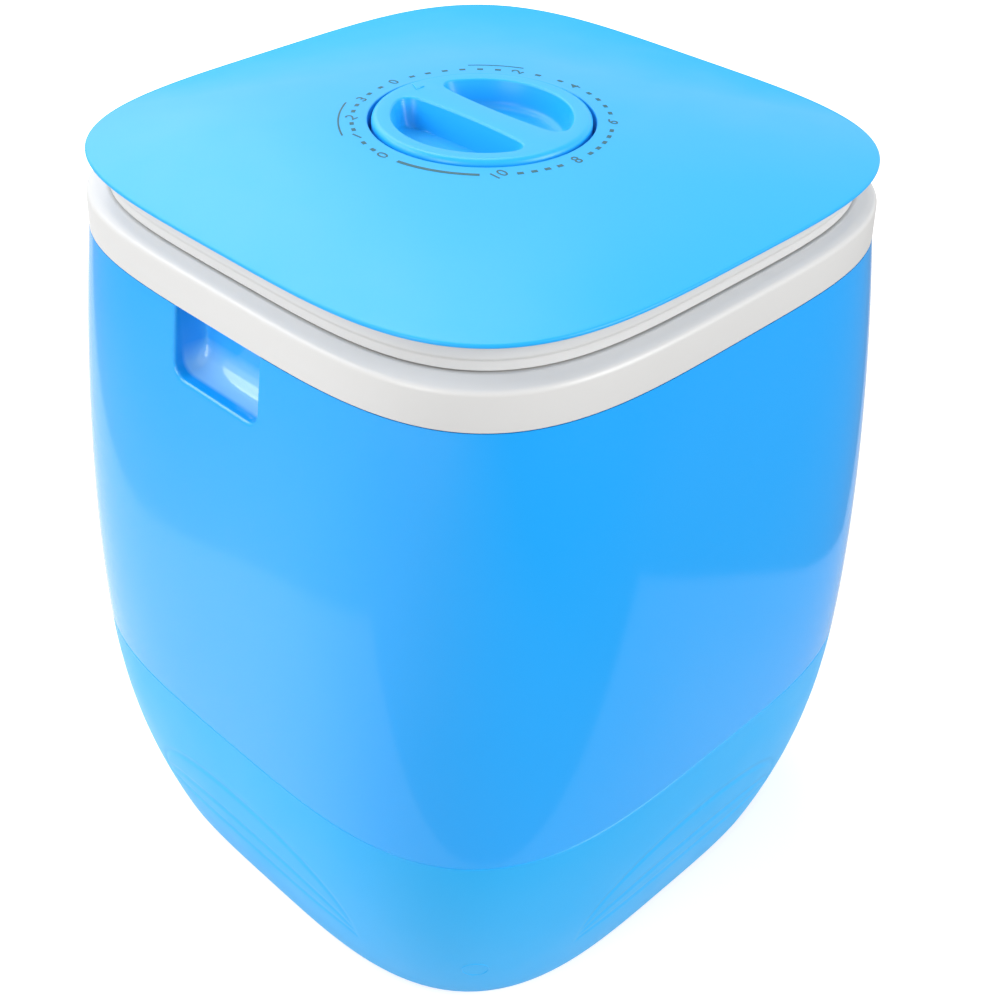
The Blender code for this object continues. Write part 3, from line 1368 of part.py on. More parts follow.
def make_lid_plate(axis):
    edge_middle = (LID_UNDER_EDGE + LID_TOP_EDGE) / 2
    floor_radius = WELL_RADIUS - WELL_TAPER
    outer_well = WELL_RADIUS + LID_THICKNESS
    rings = [
        ring(LID_HALF - LID_EDGE_ROUND, TOP_SQUARENESS, LID_UNDER_EDGE),
        ring(LID_HALF, TOP_SQUARENESS, edge_middle),
        ring(LID_HALF - LID_EDGE_ROUND, TOP_SQUARENESS, LID_TOP_EDGE),
    ]
    rings += [lid_ring(LID_HALF * share, LID_TOP_EDGE) for share in LID_TOP_SHARES]
    rings += [
        lid_ring(WELL_RADIUS + WELL_SHOULDER, LID_TOP_EDGE),
        ring(WELL_RADIUS, 2, WELL_EDGE_HEIGHT - WELL_SHOULDER),
        ring(floor_radius, 2, WELL_FLOOR),
        ring(WELL_HOLE_RADIUS, 2, WELL_FLOOR),
        ring(WELL_HOLE_RADIUS, 2, WELL_FLOOR - LID_THICKNESS),
        ring(outer_well - WELL_TAPER, 2, WELL_FLOOR - LID_THICKNESS),
        ring(outer_well + WELL_SHOULDER, 2, WELL_EDGE_HEIGHT - LID_THICKNESS - WELL_SHOULDER),
    ]
    rings += [lid_ring(LID_HALF * share, LID_UNDER_EDGE) for share in LID_UNDER_SHARES]
    plate = lofted("lid_plate", rings, closed=True)
    root = LID_UNDER_EDGE + lid_rise(lid_half_at(BOSS_ASIDE, BOSS_AHEAD)) + LID_THICKNESS / 2
    tap = SCREW_RADIUS + SCREW_HOLE_EASE
    for index, (x, y) in enumerate(four_corners(BOSS_ASIDE, BOSS_AHEAD), 1):
        low = LINER_TOP + CLEARANCE
        join(plate, cylinder(f"lid_boss_{index}", BOSS_RADIUS, low, root, x, y, SMALL_STEPS))
        high = LINER_BOTTOM + SCREW_LENGTH + SCREW_HOLE_EASE
        cut(plate, cylinder(f"lid_boss_hole_{index}", tap, low - OVERRUN, high, x, y, SMALL_STEPS))
    for index, (x, y) in enumerate(timer_screw_places(), 1):
        low, high = WELL_FLOOR - LID_THICKNESS - OVERRUN, WELL_FLOOR + OVERRUN
        cut(plate, cylinder(f"well_screw_hole_{index}", tap, low, high, x, y, SMALL_STEPS))
    return finish(plate, material("lid blue", BLUE_LID, 0.22), axis)


def make_lid_frame(axis):
    square = TOP_SQUARENESS
    upper_half = SKIRT_HALF + SKIRT_STEP
    step = SKIRT_BOTTOM + SKIRT_LOWER_HEIGHT
    top = LID_UNDER_EDGE + lid_rise(upper_half) - CLEARANCE
    flange_top = LID_UNDER_EDGE + lid_rise(FRAME_FLANGE_HALF) - CLEARANCE
    rings = [
        ring(SKIRT_HALF, square, SKIRT_BOTTOM),
        ring(SKIRT_HALF, square, step),
        ring(upper_half, square, step + SKIRT_STEP),
        ring(upper_half, square, top),
        ring(FRAME_FLANGE_HALF, square, flange_top - CLEARANCE),
        ring(FRAME_FLANGE_HALF, square, flange_top - SKIRT_WALL),
        ring(upper_half - SKIRT_WALL, square, top - SKIRT_WALL),
        ring(SKIRT_HALF - SKIRT_WALL, square, SKIRT_BOTTOM),
    ]
    frame = lofted("lid_frame", rings, closed=True)
    reach = HINGE_BACK - SKIRT_HALF + KNUCKLE_SINK
    for label, x in hinge_sides():
        join(frame, hinge_block(f"knuckle_{label}", reach, False, KNUCKLE_WIDTH, x))
        bore = HINGE_PIN_RADIUS + SCREW_HOLE_EASE
        cut(frame, hinge_bar(f"knuckle_bore_{label}", bore, KNUCKLE_WIDTH + OVERRUN, x))
    return finish(frame, material("lid frame white", WHITE, 0.3), axis)


def make_hinge_pins():
    steel = material("hinge pin steel", STEEL, 0.3, 1.0)
    for label, x in hinge_sides():
        width = hinge_width() + 2 * HINGE_PIN_PROUD
        finish(hinge_bar(f"hinge_pin_{label}", HINGE_PIN_RADIUS, width, x), steel)


def make_lid_liner(axis):
    square = TOP_SQUARENESS
    edge = SKIRT_HALF - SKIRT_WALL - LINER_EDGE_GAP
    bowl_low = LINER_BOTTOM - LINER_BOWL_DEPTH
    bowl_half = LINER_BOWL_RADIUS - LINER_BOWL_TAPER
    floor_half = bowl_half - LINER_BOWL_ROUND
    inner = LINER_BOWL_RADIUS - LINER_THICKNESS
    rings = [
        ring(floor_half - LINER_THICKNESS / 2, 2, bowl_low + LINER_THICKNESS),
        ring(bowl_half - LINER_THICKNESS, 2, bowl_low + LINER_THICKNESS + LINER_BOWL_LIFT),
        ring(inner, 2, LINER_TOP),
        ring(edge, square, LINER_TOP),
        ring(edge, square, LINER_BOTTOM),
        ring(LINER_BOWL_RADIUS, 2, LINER_BOTTOM),
        ring(bowl_half, 2, bowl_low + LINER_BOWL_LIFT),
        ring(floor_half, 2, bowl_low),
    ]
    liner = lofted("lid_liner", rings)
    hole = SCREW_RADIUS + SCREW_HOLE_EASE
    steel = material("liner screw steel", STEEL, 0.3, 1.0)
    for index, (x, y) in enumerate(four_corners(BOSS_ASIDE, BOSS_AHEAD), 1):
        low, high = LINER_BOTTOM - OVERRUN, LINER_TOP + OVERRUN
        cut(liner, cylinder(f"liner_hole_{index}", hole, low, high, x, y, SMALL_STEPS))
        held = screw(
            f"liner_screw_{index}",
            (x, y),
            LINER_BOTTOM - CLEARANCE,
            SCREW_HEAD_RADIUS,
            SCREW_HEAD_HEIGHT,
            SCREW_RADIUS,
            SCREW_LENGTH,
            upwards=True,
        )
        finish(held, steel, axis)
    return finish(liner, material("liner white", WHITE, 0.35), axis)


def timer_screw_places():
    return ((-TIMER_SCREW_ASIDE, -TIMER_SCREW_AHEAD), (TIMER_SCREW_ASIDE, TIMER_SCREW_AHEAD))


def make_timer(axis):
    half = TIMER_SIDE / 2
    timer = box("timer_body", (-half, -half, TIMER_TOP - TIMER_HEIGHT), (half, half, TIMER_TOP))
    soften(timer, TIMER_EDGE)
    low = TIMER_TOP - TIMER_SHAFT_SINK - CLEARANCE
    bore = TIMER_SHAFT_RADIUS + CLEARANCE
    cut(timer, cylinder("timer_bore", bore, low, TIMER_TOP + OVERRUN))
    steel = material("timer screw steel", STEEL, 0.3, 1.0)
    tap = SCREW_RADIUS + SCREW_HOLE_EASE
    seat = WELL_FLOOR + CLEARANCE
    for index, (x, y) in enumerate(timer_screw_places(), 1):
        low = seat - TIMER_SCREW_LENGTH - SCREW_HOLE_EASE
        name = f"timer_screw_hole_{index}"
        cut(timer, cylinder(name, tap, low, TIMER_TOP + OVERRUN, x, y, SMALL_STEPS))
        held = screw(
            f"timer_screw_{index}",
            (x, y),
            seat,
            SCREW_HEAD_RADIUS,
            TIMER_SCREW_HEAD_HEIGHT,
            SCREW_RADIUS,
            TIMER_SCREW_LENGTH,
            upwards=False,
        )
        finish(held, steel, axis)
    finish(timer, material("timer grey", GREY, 0.5), axis)


def make_knob(axis):
    corner = (KNOB_RADIUS - KNOB_EDGE_ROUND, KNOB_TOP - KNOB_EDGE_ROUND)
    socket = TIMER_SHAFT_RADIUS + CLEARANCE
    socket_top = KNOB_BOTTOM + KNOB_SOCKET_DEPTH + CLEARANCE
    knob = turned(
        "timer_knob",
        [
            (0, KNOB_TOP),
            *arc(corner, KNOB_EDGE_ROUND, 90, 0, FILLET_STEPS),
            (KNOB_RADIUS, KNOB_BOTTOM),
            (socket, KNOB_BOTTOM),
            (socket, socket_top),
            (0, socket_top),
        ],
        TURN_STEPS,
        closed=False,
    )
    built = bmesh.new()
    bmesh.ops.create_uvsphere(built, u_segments=COARSE_STEPS, v_segments=COARSE_STEPS // 3, radius=1)
    size = (KNOB_SCOOP_RADIUS, KNOB_SCOOP_RADIUS, KNOB_SCOOP_DEPTH)
    bmesh.ops.scale(built, vec=size, verts=built.verts)
    scoops = object_of("knob_scoops", built)
    scoops.location = (0, 0, KNOB_TOP)
    wide = KNOB_BAR_HALF + KNOB_BAR_FLARE
    reach = KNOB_SCOOP_RADIUS + OVERRUN
    sagitta = KNOB_BAR_FLARE
    bow = (reach**2 + sagitta**2) / (2 * sagitta)
    swing = math.degrees(math.asin(reach / bow))
    outline = arc((KNOB_BAR_HALF + bow, 0), bow, 180 + swing, 180 - swing, 2 * ARC_STEPS)
    outline += arc((-KNOB_BAR_HALF - bow, 0), bow, swing, -swing, 2 * ARC_STEPS)
    bar = flat("knob_bar", [outline], 2 * (KNOB_SCOOP_DEPTH + wide))
    bar.location = (0, 0, KNOB_TOP)
    cut(scoops, bar)
    cut(knob, scoops)
    pointer_tip = KNOB_RADIUS - KNOB_EDGE_ROUND
    base = pointer_tip - KNOB_POINTER_LENGTH
    outline = [(0, pointer_tip), (-KNOB_POINTER_WIDTH / 2, base), (KNOB_POINTER_WIDTH / 2, base)]
    pointer = flat("knob_pointer", [outline], 2 * KNOB_POINTER_HEIGHT)
    pointer.location = (0, 0, KNOB_TOP)
    join(knob, pointer)
    finish(knob, material("knob blue", BLUE_LID, 0.2), axis)
    low = TIMER_TOP - TIMER_SHAFT_SINK
    shaft = cylinder("timer_shaft", TIMER_SHAFT_RADIUS, low, KNOB_BOTTOM + KNOB_SOCKET_DEPTH)
    finish(shaft, material("timer shaft steel", STEEL, 0.3, 1.0), axis)


for item in list(bpy.data.objects):
    bpy.data.objects.remove(item, do_unlink=True)

PARTS = new_collection("mini_washing_machine")
CUTTERS = new_collection("cutters", hidden=True)

lid_axis = axis_empty("lid_hinge_axis", (0, HINGE_BACK, HINGE_HEIGHT))
knob_axis = axis_empty("knob_axis", (0, 0, KNOB_BOTTOM))
drive_axis = axis_empty("drive_axis", (0, 0, BELT_HEIGHT))
rotor_axis = axis_empty("rotor_axis", (0, MOTOR_SETBACK, BELT_HEIGHT))

make_outer_shell()
make_base_housing()
make_base_plate()
make_feet()
make_motor()
make_belt()
make_tub()
make_drain()
make_bearings()
make_top_frame()
make_hinge_pins()
make_lid_plate(lid_axis)
make_lid_frame(lid_axis)
make_lid_liner(lid_axis)
make_timer(lid_axis)
make_knob(knob_axis)
make_drive(drive_axis)
make_pulsator(drive_axis)
make_basket(drive_axis)
make_rotor(rotor_axis)
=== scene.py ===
"""Mini washing machine: the skins, dial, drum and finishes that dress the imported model.

The front is -Y, the lid's hinge is at +Y, +Z is up and the floor is z = 0. Lengths are in metres.
"""

import math

import bmesh
import bpy
import numpy as np
from bpy.props import FloatProperty, FloatVectorProperty, PointerProperty
from bpy.types import Operator, Panel, PropertyGroup
from mathutils import Matrix, Vector


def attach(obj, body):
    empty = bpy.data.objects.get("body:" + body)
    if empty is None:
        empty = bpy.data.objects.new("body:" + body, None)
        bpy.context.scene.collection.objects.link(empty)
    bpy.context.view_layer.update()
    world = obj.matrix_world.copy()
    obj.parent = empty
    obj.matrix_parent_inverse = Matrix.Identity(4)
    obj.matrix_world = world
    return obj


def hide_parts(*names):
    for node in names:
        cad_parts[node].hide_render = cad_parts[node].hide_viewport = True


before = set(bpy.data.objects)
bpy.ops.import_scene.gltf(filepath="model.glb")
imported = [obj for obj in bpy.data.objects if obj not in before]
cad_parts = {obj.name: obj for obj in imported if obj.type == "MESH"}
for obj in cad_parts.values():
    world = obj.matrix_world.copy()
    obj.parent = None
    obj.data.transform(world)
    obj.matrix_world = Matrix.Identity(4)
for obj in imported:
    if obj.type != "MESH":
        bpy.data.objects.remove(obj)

bl_info = {
    "name": "Mini washing machine",
    "version": (1, 0, 0),
    "blender": (4, 5, 0),
    "location": "3D View > Sidebar > Washer",
    "description": "Dresses a small tub washer with its moulded skins, dial, drum and finishes",
    "category": "Object",
}

MM = 0.001

# Working allowances and facets
MERGE_DISTANCE = 0.002 * MM
SHELL_COLUMNS = 240
SHELL_ROWS = 70
LID_COLUMNS = 224
LID_ROWS = 44
COLLAR_COLUMNS = 224
BASE_CORNER_STEPS = 18
BASE_BACK_STEPS = 16
BASE_FOOT_ROWS = 6
BASE_TOP_ROWS = 9
TURN_STEPS = 96
SMALL_TURN_STEPS = 40
LIP_STEPS = 6
COVE_STEPS = 8
BACK_STEPS = 5
SECTION_STEPS = 3
DRUM_STEPS = 6
KNOB_STEPS = 8
FLAT_ANGLE = math.radians(2)
CORNER_STEPS = 5
SMOOTH_ANGLE = math.radians(32)
ROUND_REACH = 0.46

# Small roundings, from crisp to soft
CRISP = 0.2 * MM
FINE = 0.3 * MM
SMALL = 0.4 * MM
EASED = 0.6 * MM
SOFT = 0.8 * MM
FULL = 1 * MM
AMPLE = 1.5 * MM
BROAD = 2 * MM

# Body
FOOT_HEIGHT = 6 * MM
SEAM_HEIGHT = 147 * MM
SEAM_GAP = 0.7 * MM
SHELL_TOP = 409 * MM
CLEARANCE = 0.3 * MM
WIDEST_HEIGHT = 160 * MM
BODY_TOP_HALF = 177.6 * MM
BODY_WIDEST_HALF = 1.1036 * BODY_TOP_HALF
BODY_BOTTOM_HALF = 0.9797 * BODY_TOP_HALF
MOUTH_RADIUS = 0.8418 * BODY_TOP_HALF
UPPER_BULGE_POWER = 1.85
LOWER_BULGE_POWER = 2.3
BOTTOM_SQUARENESS = 3.52
TOP_SQUARENESS = 3.83
PLAN_CORNER_SHARE = 0.4
BODY_WALL = 2.5 * MM
HOUSING_WALL = 5 * MM
BASE_FLOOR = 2.5 * MM
BASE_FLANGE_HALF = 0.7658 * BODY_TOP_HALF
BASE_EDGE_ROUND = 3 * MM
TONGUE_HEIGHT = 7 * MM
EDGE_SOFTNESS = 0.5 * MM

# Hand recesses
RECESS_WIDTH = 65 * MM
RECESS_DROP = 38 * MM
RECESS_DEPTH = 16 * MM
RECESS_COVE = 13 * MM
RECESS_CORNER = 7 * MM
RECESS_SIDE_COVE = 2.5 * MM
RECESS_MARGIN = 13 * MM
RECESS_SIDE_START = 0.3
RECESS_RUN_IN = (0, 0.3, 0.6, 0.85)
RECESS_WALL_SHARES = (0.33, 0.66)

# Arched grooves of the base
GROOVE_REACH = 0.5068 * BODY_TOP_HALF
GROOVE_FOOT_HEIGHT = 42 * MM
GROOVE_PEAK_HEIGHTS = (98 * MM, 70 * MM, 52 * MM)
GROOVE_ARCH_POWER = 2.4
GROOVE_END_SHARE = 0.3
GROOVE_POINTS = 240
GROOVE_SPACING = 1.25 * MM
GROOVE_MARGIN = 8 * MM

# Round mould mark: its section is given as (across, out) in millimetres
MARK_RADIUS = 7.6 * MM
MARK_HEIGHT = 45 * MM
MARK_REACH = 214 * MM
MARK_ASIDE = 5 * MM
MARK_SECTION = ((-0.5, -0.2), (-0.25, 0.12), (0, 0.2), (0.25, 0.12), (0.5, -0.2), (0, -0.4))

# Collar and deck
CREASE_HEIGHT = 429 * MM
COLLAR_SHOULDER_HALF = 173.2 * MM
COLLAR_SHOULDER_HEIGHT = 430.7 * MM
LEDGE_HEIGHT = 431.6 * MM
LEDGE_INNER_HALF = 165.4 * MM
LEDGE_LIP_HALF = 168 * MM
LEDGE_LIP_HEIGHT = 431.8 * MM
MOUTH_HEIGHT = 429.6 * MM
DECK_UNDERSIDE = 425.8 * MM
DECK_ROLL = 4 * MM
DECK_ROUND = 1.8 * MM
BAND_DRAFT = 0.7 * MM
LEDGE_LIP_ROUND = 0.9 * MM
COLLAR_WALL_HALF = 171.5 * MM
COLLAR_WALL_HEIGHT = 426.4 * MM
COLLAR_FOOT_HALF = 173.9 * MM
COLLAR_FOOT_HEIGHT = 411.5 * MM
COLLAR_INNER_HALF = 156.6 * MM

# Lid
LID_HALF = 175 * MM
LID_UNDER_EDGE = 449.5 * MM
LID_THICKNESS = 2.2 * MM
LID_TOP_EDGE = LID_UNDER_EDGE + LID_THICKNESS
LID_RISE = 14 * MM
LID_SQUARENESS_POWER = 0.7
LID_RIM_RUN = 3 * MM
LID_UNDER_RUN = 4 * MM
LID_DOME_RUN = 4.5 * MM
LID_UNDER_SHARES = (0.45, 0.6, 0.75, 0.9)
WELL_RADIUS = 59.5 * MM
WELL_SHOULDER = 1.0 * MM
WELL_SHOULDER_RUN = 1.6 * WELL_SHOULDER
WELL_SHOULDER_RISE = 0.1 * MM
WELL_DEPTH = 17 * MM
WELL_TAPER = 0.6 * MM
WELL_HOLE_RADIUS = 7 * MM
WELL_EDGE_HEIGHT = LID_TOP_EDGE + LID_RISE * (1 - (WELL_RADIUS / LID_HALF) ** 2)
WELL_FLOOR = WELL_EDGE_HEIGHT - WELL_DEPTH
SKIRT_BOTTOM = 432.5 * MM
SKIRT_HALF = 166.4 * MM
SKIRT_STEP = 1.2 * MM
SKIRT_LOWER_HEIGHT = 5.4 * MM
SKIRT_WALL = 2.6 * MM
SKIRT_ROUND = 1.4 * MM
FRAME_FLANGE_HALF = 150 * MM
LINER_BOTTOM = 434.1 * MM
LINER_THICKNESS = 2.2 * MM
LINER_EDGE_HALF = 162.8 * MM
LINER_BOWL_RADIUS = 74 * MM
LINER_BOWL_TAPER = 8 * MM
LINER_BOWL_DEPTH = 15 * MM
LINER_BOWL_ROUNDS = (6 * MM, 7 * MM)
LINER_SHOULDER_ROUND = 3 * MM
LINER_MIDDLE = (100 * MM, 2.6)

# Hinge
HINGE_RADIUS = 4 * MM
HINGE_HEIGHT = 443 * MM
HINGE_BACK = 172.4 * MM
HINGE_ASIDE = 62 * MM
KNUCKLE_WIDTH = 24 * MM
KNUCKLE_REACH = 11 * MM
EAR_WIDTH = 5 * MM
EAR_DROP = 14 * MM
HINGE_SIDE_GAP = 0.5 * MM
FACING_LEAST = 0.05

# Knob
KNOB_RADIUS = 57.5 * MM
KNOB_TOP = WELL_EDGE_HEIGHT + 2.4 * MM
KNOB_BOTTOM = WELL_FLOOR + 3.8 * MM
KNOB_EDGE_ROUND = 4 * MM
KNOB_FLAT_START = KNOB_RADIUS - 8 * MM
SCOOP_RADIUS = 47.2 * MM
SCOOP_DEPTH = 14.2 * MM
SCOOP_CENTRE = 23 * MM
SCOOP_BAR_COVE = 5 * MM
SCOOP_RIM_COVE = 11 * MM
SCOOP_COVE_POWER = 2.6
SCOOP_LIP_SLOPE = 4
SCOOP_FLOOR_BLEND = 2.4 * MM
SCOOP_TIP_BLEND = 11 * MM
SCOOP_STEPS = 144
SCOOP_ROWS = 30
SCOOP_ROW_POWER = 1.7
BAR_HALF = 8.8 * MM
BAR_FLARE = 3 * MM
POINTER_LENGTH = 6.4 * MM
POINTER_WIDTH = 6 * MM
POINTER_HEIGHT = 0.5 * MM
POINTER_TIP = 53 * MM
POINTER_REACH = POINTER_LENGTH / 1.5

# Printed dial: angles are clockwise from the rear, seen from above
DIAL_RADIUS = 67.6 * MM
DIGIT_HEIGHT = 6.8 * MM
DIGIT_STROKE = 0.04 * MM
DIGIT_SHARE = 0.72
DIGIT_SPACING = 1.05
ARC_STEP = 1.5
DASH_LENGTH = 3.3 * MM
DASH_WIDTH = 2.2 * MM
ARC_WIDTH = 2.1 * MM
FINE_ARC_RADIUS = 74.5 * MM
FINE_ARC_WIDTH = 0.95 * MM
PRINT_THICKNESS = 0.25 * MM
DIAL_DIGITS = (
    ("0", 0),
    ("2", 62),
    ("4", 93),
    ("6", 136.5),
    ("8", 181),
    ("10", 218),
    ("0", 271.5),
    ("1", 294),
    ("2", 314),
    ("3", 335),
)
DIAL_DASHES = (
    (10.5, 52.5, 6),
    (72, 84, 2),
    (103, 127, 4),
    (146, 172, 5),
    (190.5, 209, 4),
    (278.5, 286.5, 2),
    (301, 307.5, 2),
    (321, 328, 2),
    (342, 351, 2),
)
DIAL_ARC = (226, 263)
FINE_ARCS = ((297, 330), (39, 63))

# Drum
BASKET_BOTTOM = 189.9 * MM
BASKET_TOP = 399.9 * MM
BASKET_BOTTOM_RADIUS = 118 * MM
BASKET_TOP_RADIUS = 125 * MM
BASKET_WALL = 2.4 * MM
BASKET_RIM = 4 * MM
BASKET_RIM_HEIGHT = 7 * MM
BASKET_FILLET = 12 * MM
BASKET_HUB = 20.3 * MM
BASKET_SOCKET = 16.3 * MM
BASKET_SOCKET_TOP = 201.3 * MM
BASKET_SKIRT_BOTTOM = 177.9 * MM
BASKET_CONE_RADIUS = 8 * MM
BASKET_CONE_TOP = 214.3 * MM
BASKET_CONE_ROUND = 4 * MM
BASKET_HUB_ROUND = 8 * MM
BASKET_LIP_ROUNDS = (1.2 * MM, 1.6 * MM)
SLOT_COLUMNS = 14
SLOT_ROWS = 2
SLOT_WIDTH = 3.6 * MM
SLOT_HEIGHT = 64 * MM
SLOT_PITCH = 78 * MM
SLOTS_START = 62 * MM
SLOT_TURN_SHARE = 0.25
SLOT_CORNERS = 16
SLOT_CUT = 24 * MM
TUB_TOP = 425.5 * MM
TUB_BOTTOM = 158.5 * MM
TUB_WALL = 2.4 * MM
TUB_TOP_RADIUS = 148 * MM
TUB_BOTTOM_RADIUS = 141 * MM
TUB_FILLET = 18 * MM
TUB_FLANGE = 9 * MM
TUB_HOLE_RADIUS = 9 * MM

# Back and feet
OUTLET_X = 88 * MM
OUTLET_HEIGHT = 40 * MM
OUTLET_TIP = 194 * MM
OUTLET_SEAT = 168 * MM
OUTLET_START = 153 * MM
OUTLET_RADIUS = 10.5 * MM
OUTLET_BORE = 7.5 * MM
OUTLET_BARB = 1.2 * MM
OUTLET_FLANGE = 4 * MM
OUTLET_FLANGE_THICKNESS = 3 * MM
GLAND_X = -88 * MM
GLAND_HEIGHT = 44 * MM
GLAND_TIP = 191.4 * MM
GLAND_START = 165.2 * MM
GLAND_RADIUS = 8 * MM
GLAND_FLANGE = 3 * MM
GLAND_BORE = 3.6 * MM
GLAND_RINGS = 4
GLAND_RIB = 1 * MM
FOOT_PLACE = 126 * MM
FOOT_CORNERS = (
    ("front_left", -1, -1),
    ("front_right", 1, -1),
    ("rear_left", -1, 1),
    ("rear_right", 1, 1),
)
FOOT_RADIUS = 15 * MM
FOOT_TOP_RADIUS = 13 * MM
FOOT_SINK_RADIUS = 6.5 * MM
FOOT_SINK_DEPTH = 3.4 * MM
FOOT_HOLE_RADIUS = 2.4 * MM
FOOT_EDGE_ROUND = 1.2 * MM

# Finishes: the scale of each pattern, and how strongly it shows
COLOUR_MIX_SOCKETS = (0, 6, 7)
GREY = (0.5, 0.5, 0.5, 1)
WHITE = (1, 1, 1, 1)
BUMP_HEIGHT = 0.02 * MM
NOISE_LOW = 0.1
NOISE_HIGH = 0.9
CLOUD_SCALE = 9
SHEEN_SCALE = 30
SHEEN_RANGE = (0.85, 1.15)
GRAIN_SCALE = 1900
RIPPLE_SCALE = 26
RIPPLE_HEIGHT = 8
MOTTLE_SHADE = (0.72, 0.80, 0.88, 1)
MOTTLE_PALENESS = 0.35
DUST_SLOPE = 0.2
DUST_TINT = (0.72, 0.71, 0.68, 1)
DUST_DULLNESS = 0.6
SPECK_SCALE = 420
SPECK_ROUGHNESS = 0.7
SPECK_RANGE = (0.55, 0.75)
DRIFT_SCALE = 17
DRIFT_LEAST = 0.2
WIPING_SCALE = 14
WIPING_STRETCH = (1, 9, 2)
WIPING_TURN = (0.2, 0.1, 0.7)
WIPING_RANGE = (0.4, 0.9)
WIPING_DULLNESS = 0.3
LINES_SCALE = 160
LINES_STRETCH = (1, 1, 24)
METAL_ROUGHNESS = 0.6
PATCH_SCALE = 60
PATCH_RANGE = (0.5, 0.75)
STAIN_TINT = (0.2, 0.15, 0.1, 1)
STAIN_DULLNESS = 0.35
GLANCE_START = 0.7
GLANCE_END = 0.78
GLANCE_SPREAD = 0.4
# Painted light in the hand recesses: its pale tint, how strongly it shows and where
RECESS_LIGHT_TINT = (0.28, 0.60, 0.95, 1)
RECESS_LIGHT_AMOUNT = 0.9
RECESS_LIGHT_BACK_SHARE = 0.1
RECESS_LIGHT_START = 0.6 * MM
RECESS_LIGHT_END = 3 * MM
RECESS_LIGHT_FADE = 2 * MM
RECESS_LIGHT_LOW = 4 * MM
RECESS_LIGHT_TOP = 15 * MM
BASE_FOOT_TINT = (0.10, 0.60, 0.95, 1)
BASE_PALENESS = 0.15

# Light and floor: each lamp has a name, a place, a target, its width and height, and its power
LAMPS = (
    ("rear softbox", (0.1, 1.75, 1.8), (-0.05, 0.05, 0.45), (2.0, 1.5), 17),
    ("overhead softbox", (0.65, 0.85, 2.25), (0, 0, 0.45), (1.2, 1.2), 13),
    ("left rear softbox", (-1.35, 1.35, 1.65), (0, 0, 0.4), (1.5, 1.2), 23),
    ("left window", (-2.2, -0.3, 1.0), (0, 0, 0.25), (1.0, 1.4), 22),
    ("front window", (0.9, -2.3, 1.05), (0.05, 0, 0.25), (1.3, 1.6), 50),
)
SURROUND_LEVEL = 0.45
STAGE_LIFT = 0.24
STAGE_FADE = 0.65
STAGE_ROUGHNESS = 0.9
SHADE_REACH = 0.5
OPEN_WHITE = 0.98
SHEET_SHADE = 0.55
SHEET_WHITE = 0.45
FLOOR_SHADE = 0.2
FLOOR_WHITE = 0.85
FAR_RANGE = (0.3, 1.0)
FAR_SHARE = 0.3
SHEET_THICKNESS = 0.5 * MM
SHEET_CORNERS = ((-0.64, 0.02), (0.24, -0.58), (0.46, -0.19), (4.2, 1.8), (1.76, 4.42))
FLOOR_CORNERS = ((-7, -7), (7, -7), (7, 7), (-7, 7))

# Camera: its direction, turn and place were fitted to the photograph
CAMERA_UNIT = 175 * MM
CAMERA_CENTRE_HEIGHT = 450.5 * MM
CAMERA_AZIMUTH = math.radians(-44.35)
CAMERA_ELEVATION = math.radians(36.62)
CAMERA_ROLL = math.radians(0.59)
CAMERA_ASIDE = 0.102
CAMERA_RAISE = 1.062
CAMERA_DISTANCE = 4.709
CAMERA_LENS = 56.71
CAMERA_SENSOR = 36
CAMERA_SHIFT_X = 0.0526
CAMERA_SHIFT_Y = -0.0022


def length(name, text, value):
    return FloatProperty(name=name, description=text, default=value, unit="LENGTH", precision=5)


def colour(name, text, value):
    return FloatVectorProperty(
        name=name, description=text, default=value, subtype="COLOR", size=3, min=0, max=1
    )


class WasherSizes(PropertyGroup):
    lip_round: length("Recess lip", "Rounding of the hand recess's edge", 1.8 * MM)
    groove_depth: length("Groove depth", "Depth of the base's arched grooves", 0.75 * MM)
    groove_half: length("Groove half width", "Half width of an arched groove", 4.4 * MM)
    crease_round: length("Crease", "Rounding of the collar's outer crease", 2.4 * MM)
    lid_edge: length("Lid edge", "Rounding of the lid's rim", 1.05 * MM)
    scoop_lip: length("Scoop lip", "Rounding of the knob's finger scoops", 1.4 * MM)
    dial_lift: length("Print lift", "Height of the dial's print over the lid", 0.12 * MM)


class WasherColours(PropertyGroup):
    lid: colour("Lid", "Colour of the lid", (0.012, 0.415, 0.93))
    knob: colour("Knob", "Colour of the dial's knob", (0.010, 0.42, 0.90))
    shell: colour("Shell", "Colour of the upper body", (0.003, 0.37, 0.93))
    base: colour("Base", "Colour of the lower body", (0.006, 0.42, 0.89))
    collar: colour("Collar", "Colour of the collar and the lid's skirt", (0.685, 0.68, 0.67))
    drum: colour("Drum", "Colour of the tub, basket and pulsator", (0.66, 0.69, 0.72))
    printing: colour("Printing", "Colour of the dial's print", (0.012, 0.12, 0.15))
    sheet: colour("Sheet", "Colour of the white sheet under the washer", (0.80, 0.80, 0.80))
    floor: colour("Floor", "Colour of the floor round the sheet", (0.50, 0.50, 0.50))


def sizes():
    return bpy.context.scene.washer_sizes


def colours():
    return bpy.context.scene.washer_colours


# Modelling helpers


def deselect():
    if bpy.context.object and bpy.context.object.mode != "OBJECT":
        bpy.ops.object.mode_set(mode="OBJECT")
    bpy.ops.object.select_all(action="DESELECT")


def alone(piece):
    deselect()
    piece.select_set(True)
    bpy.context.view_layer.objects.active = piece


def edit(action="SELECT"):
    """Enters edit mode with all of the mesh selected, or none of it."""
    bpy.ops.object.mode_set(mode="EDIT")
    bpy.ops.mesh.select_all(action=action)


def named(name):
    piece = bpy.context.object
    piece.name = name
    piece.data.name = name
    return piece


def settle(piece):
    """Puts the piece's place, turn and scale into its mesh."""
    alone(piece)
    bpy.ops.object.transform_apply(location=True, rotation=True, scale=True)
    return piece


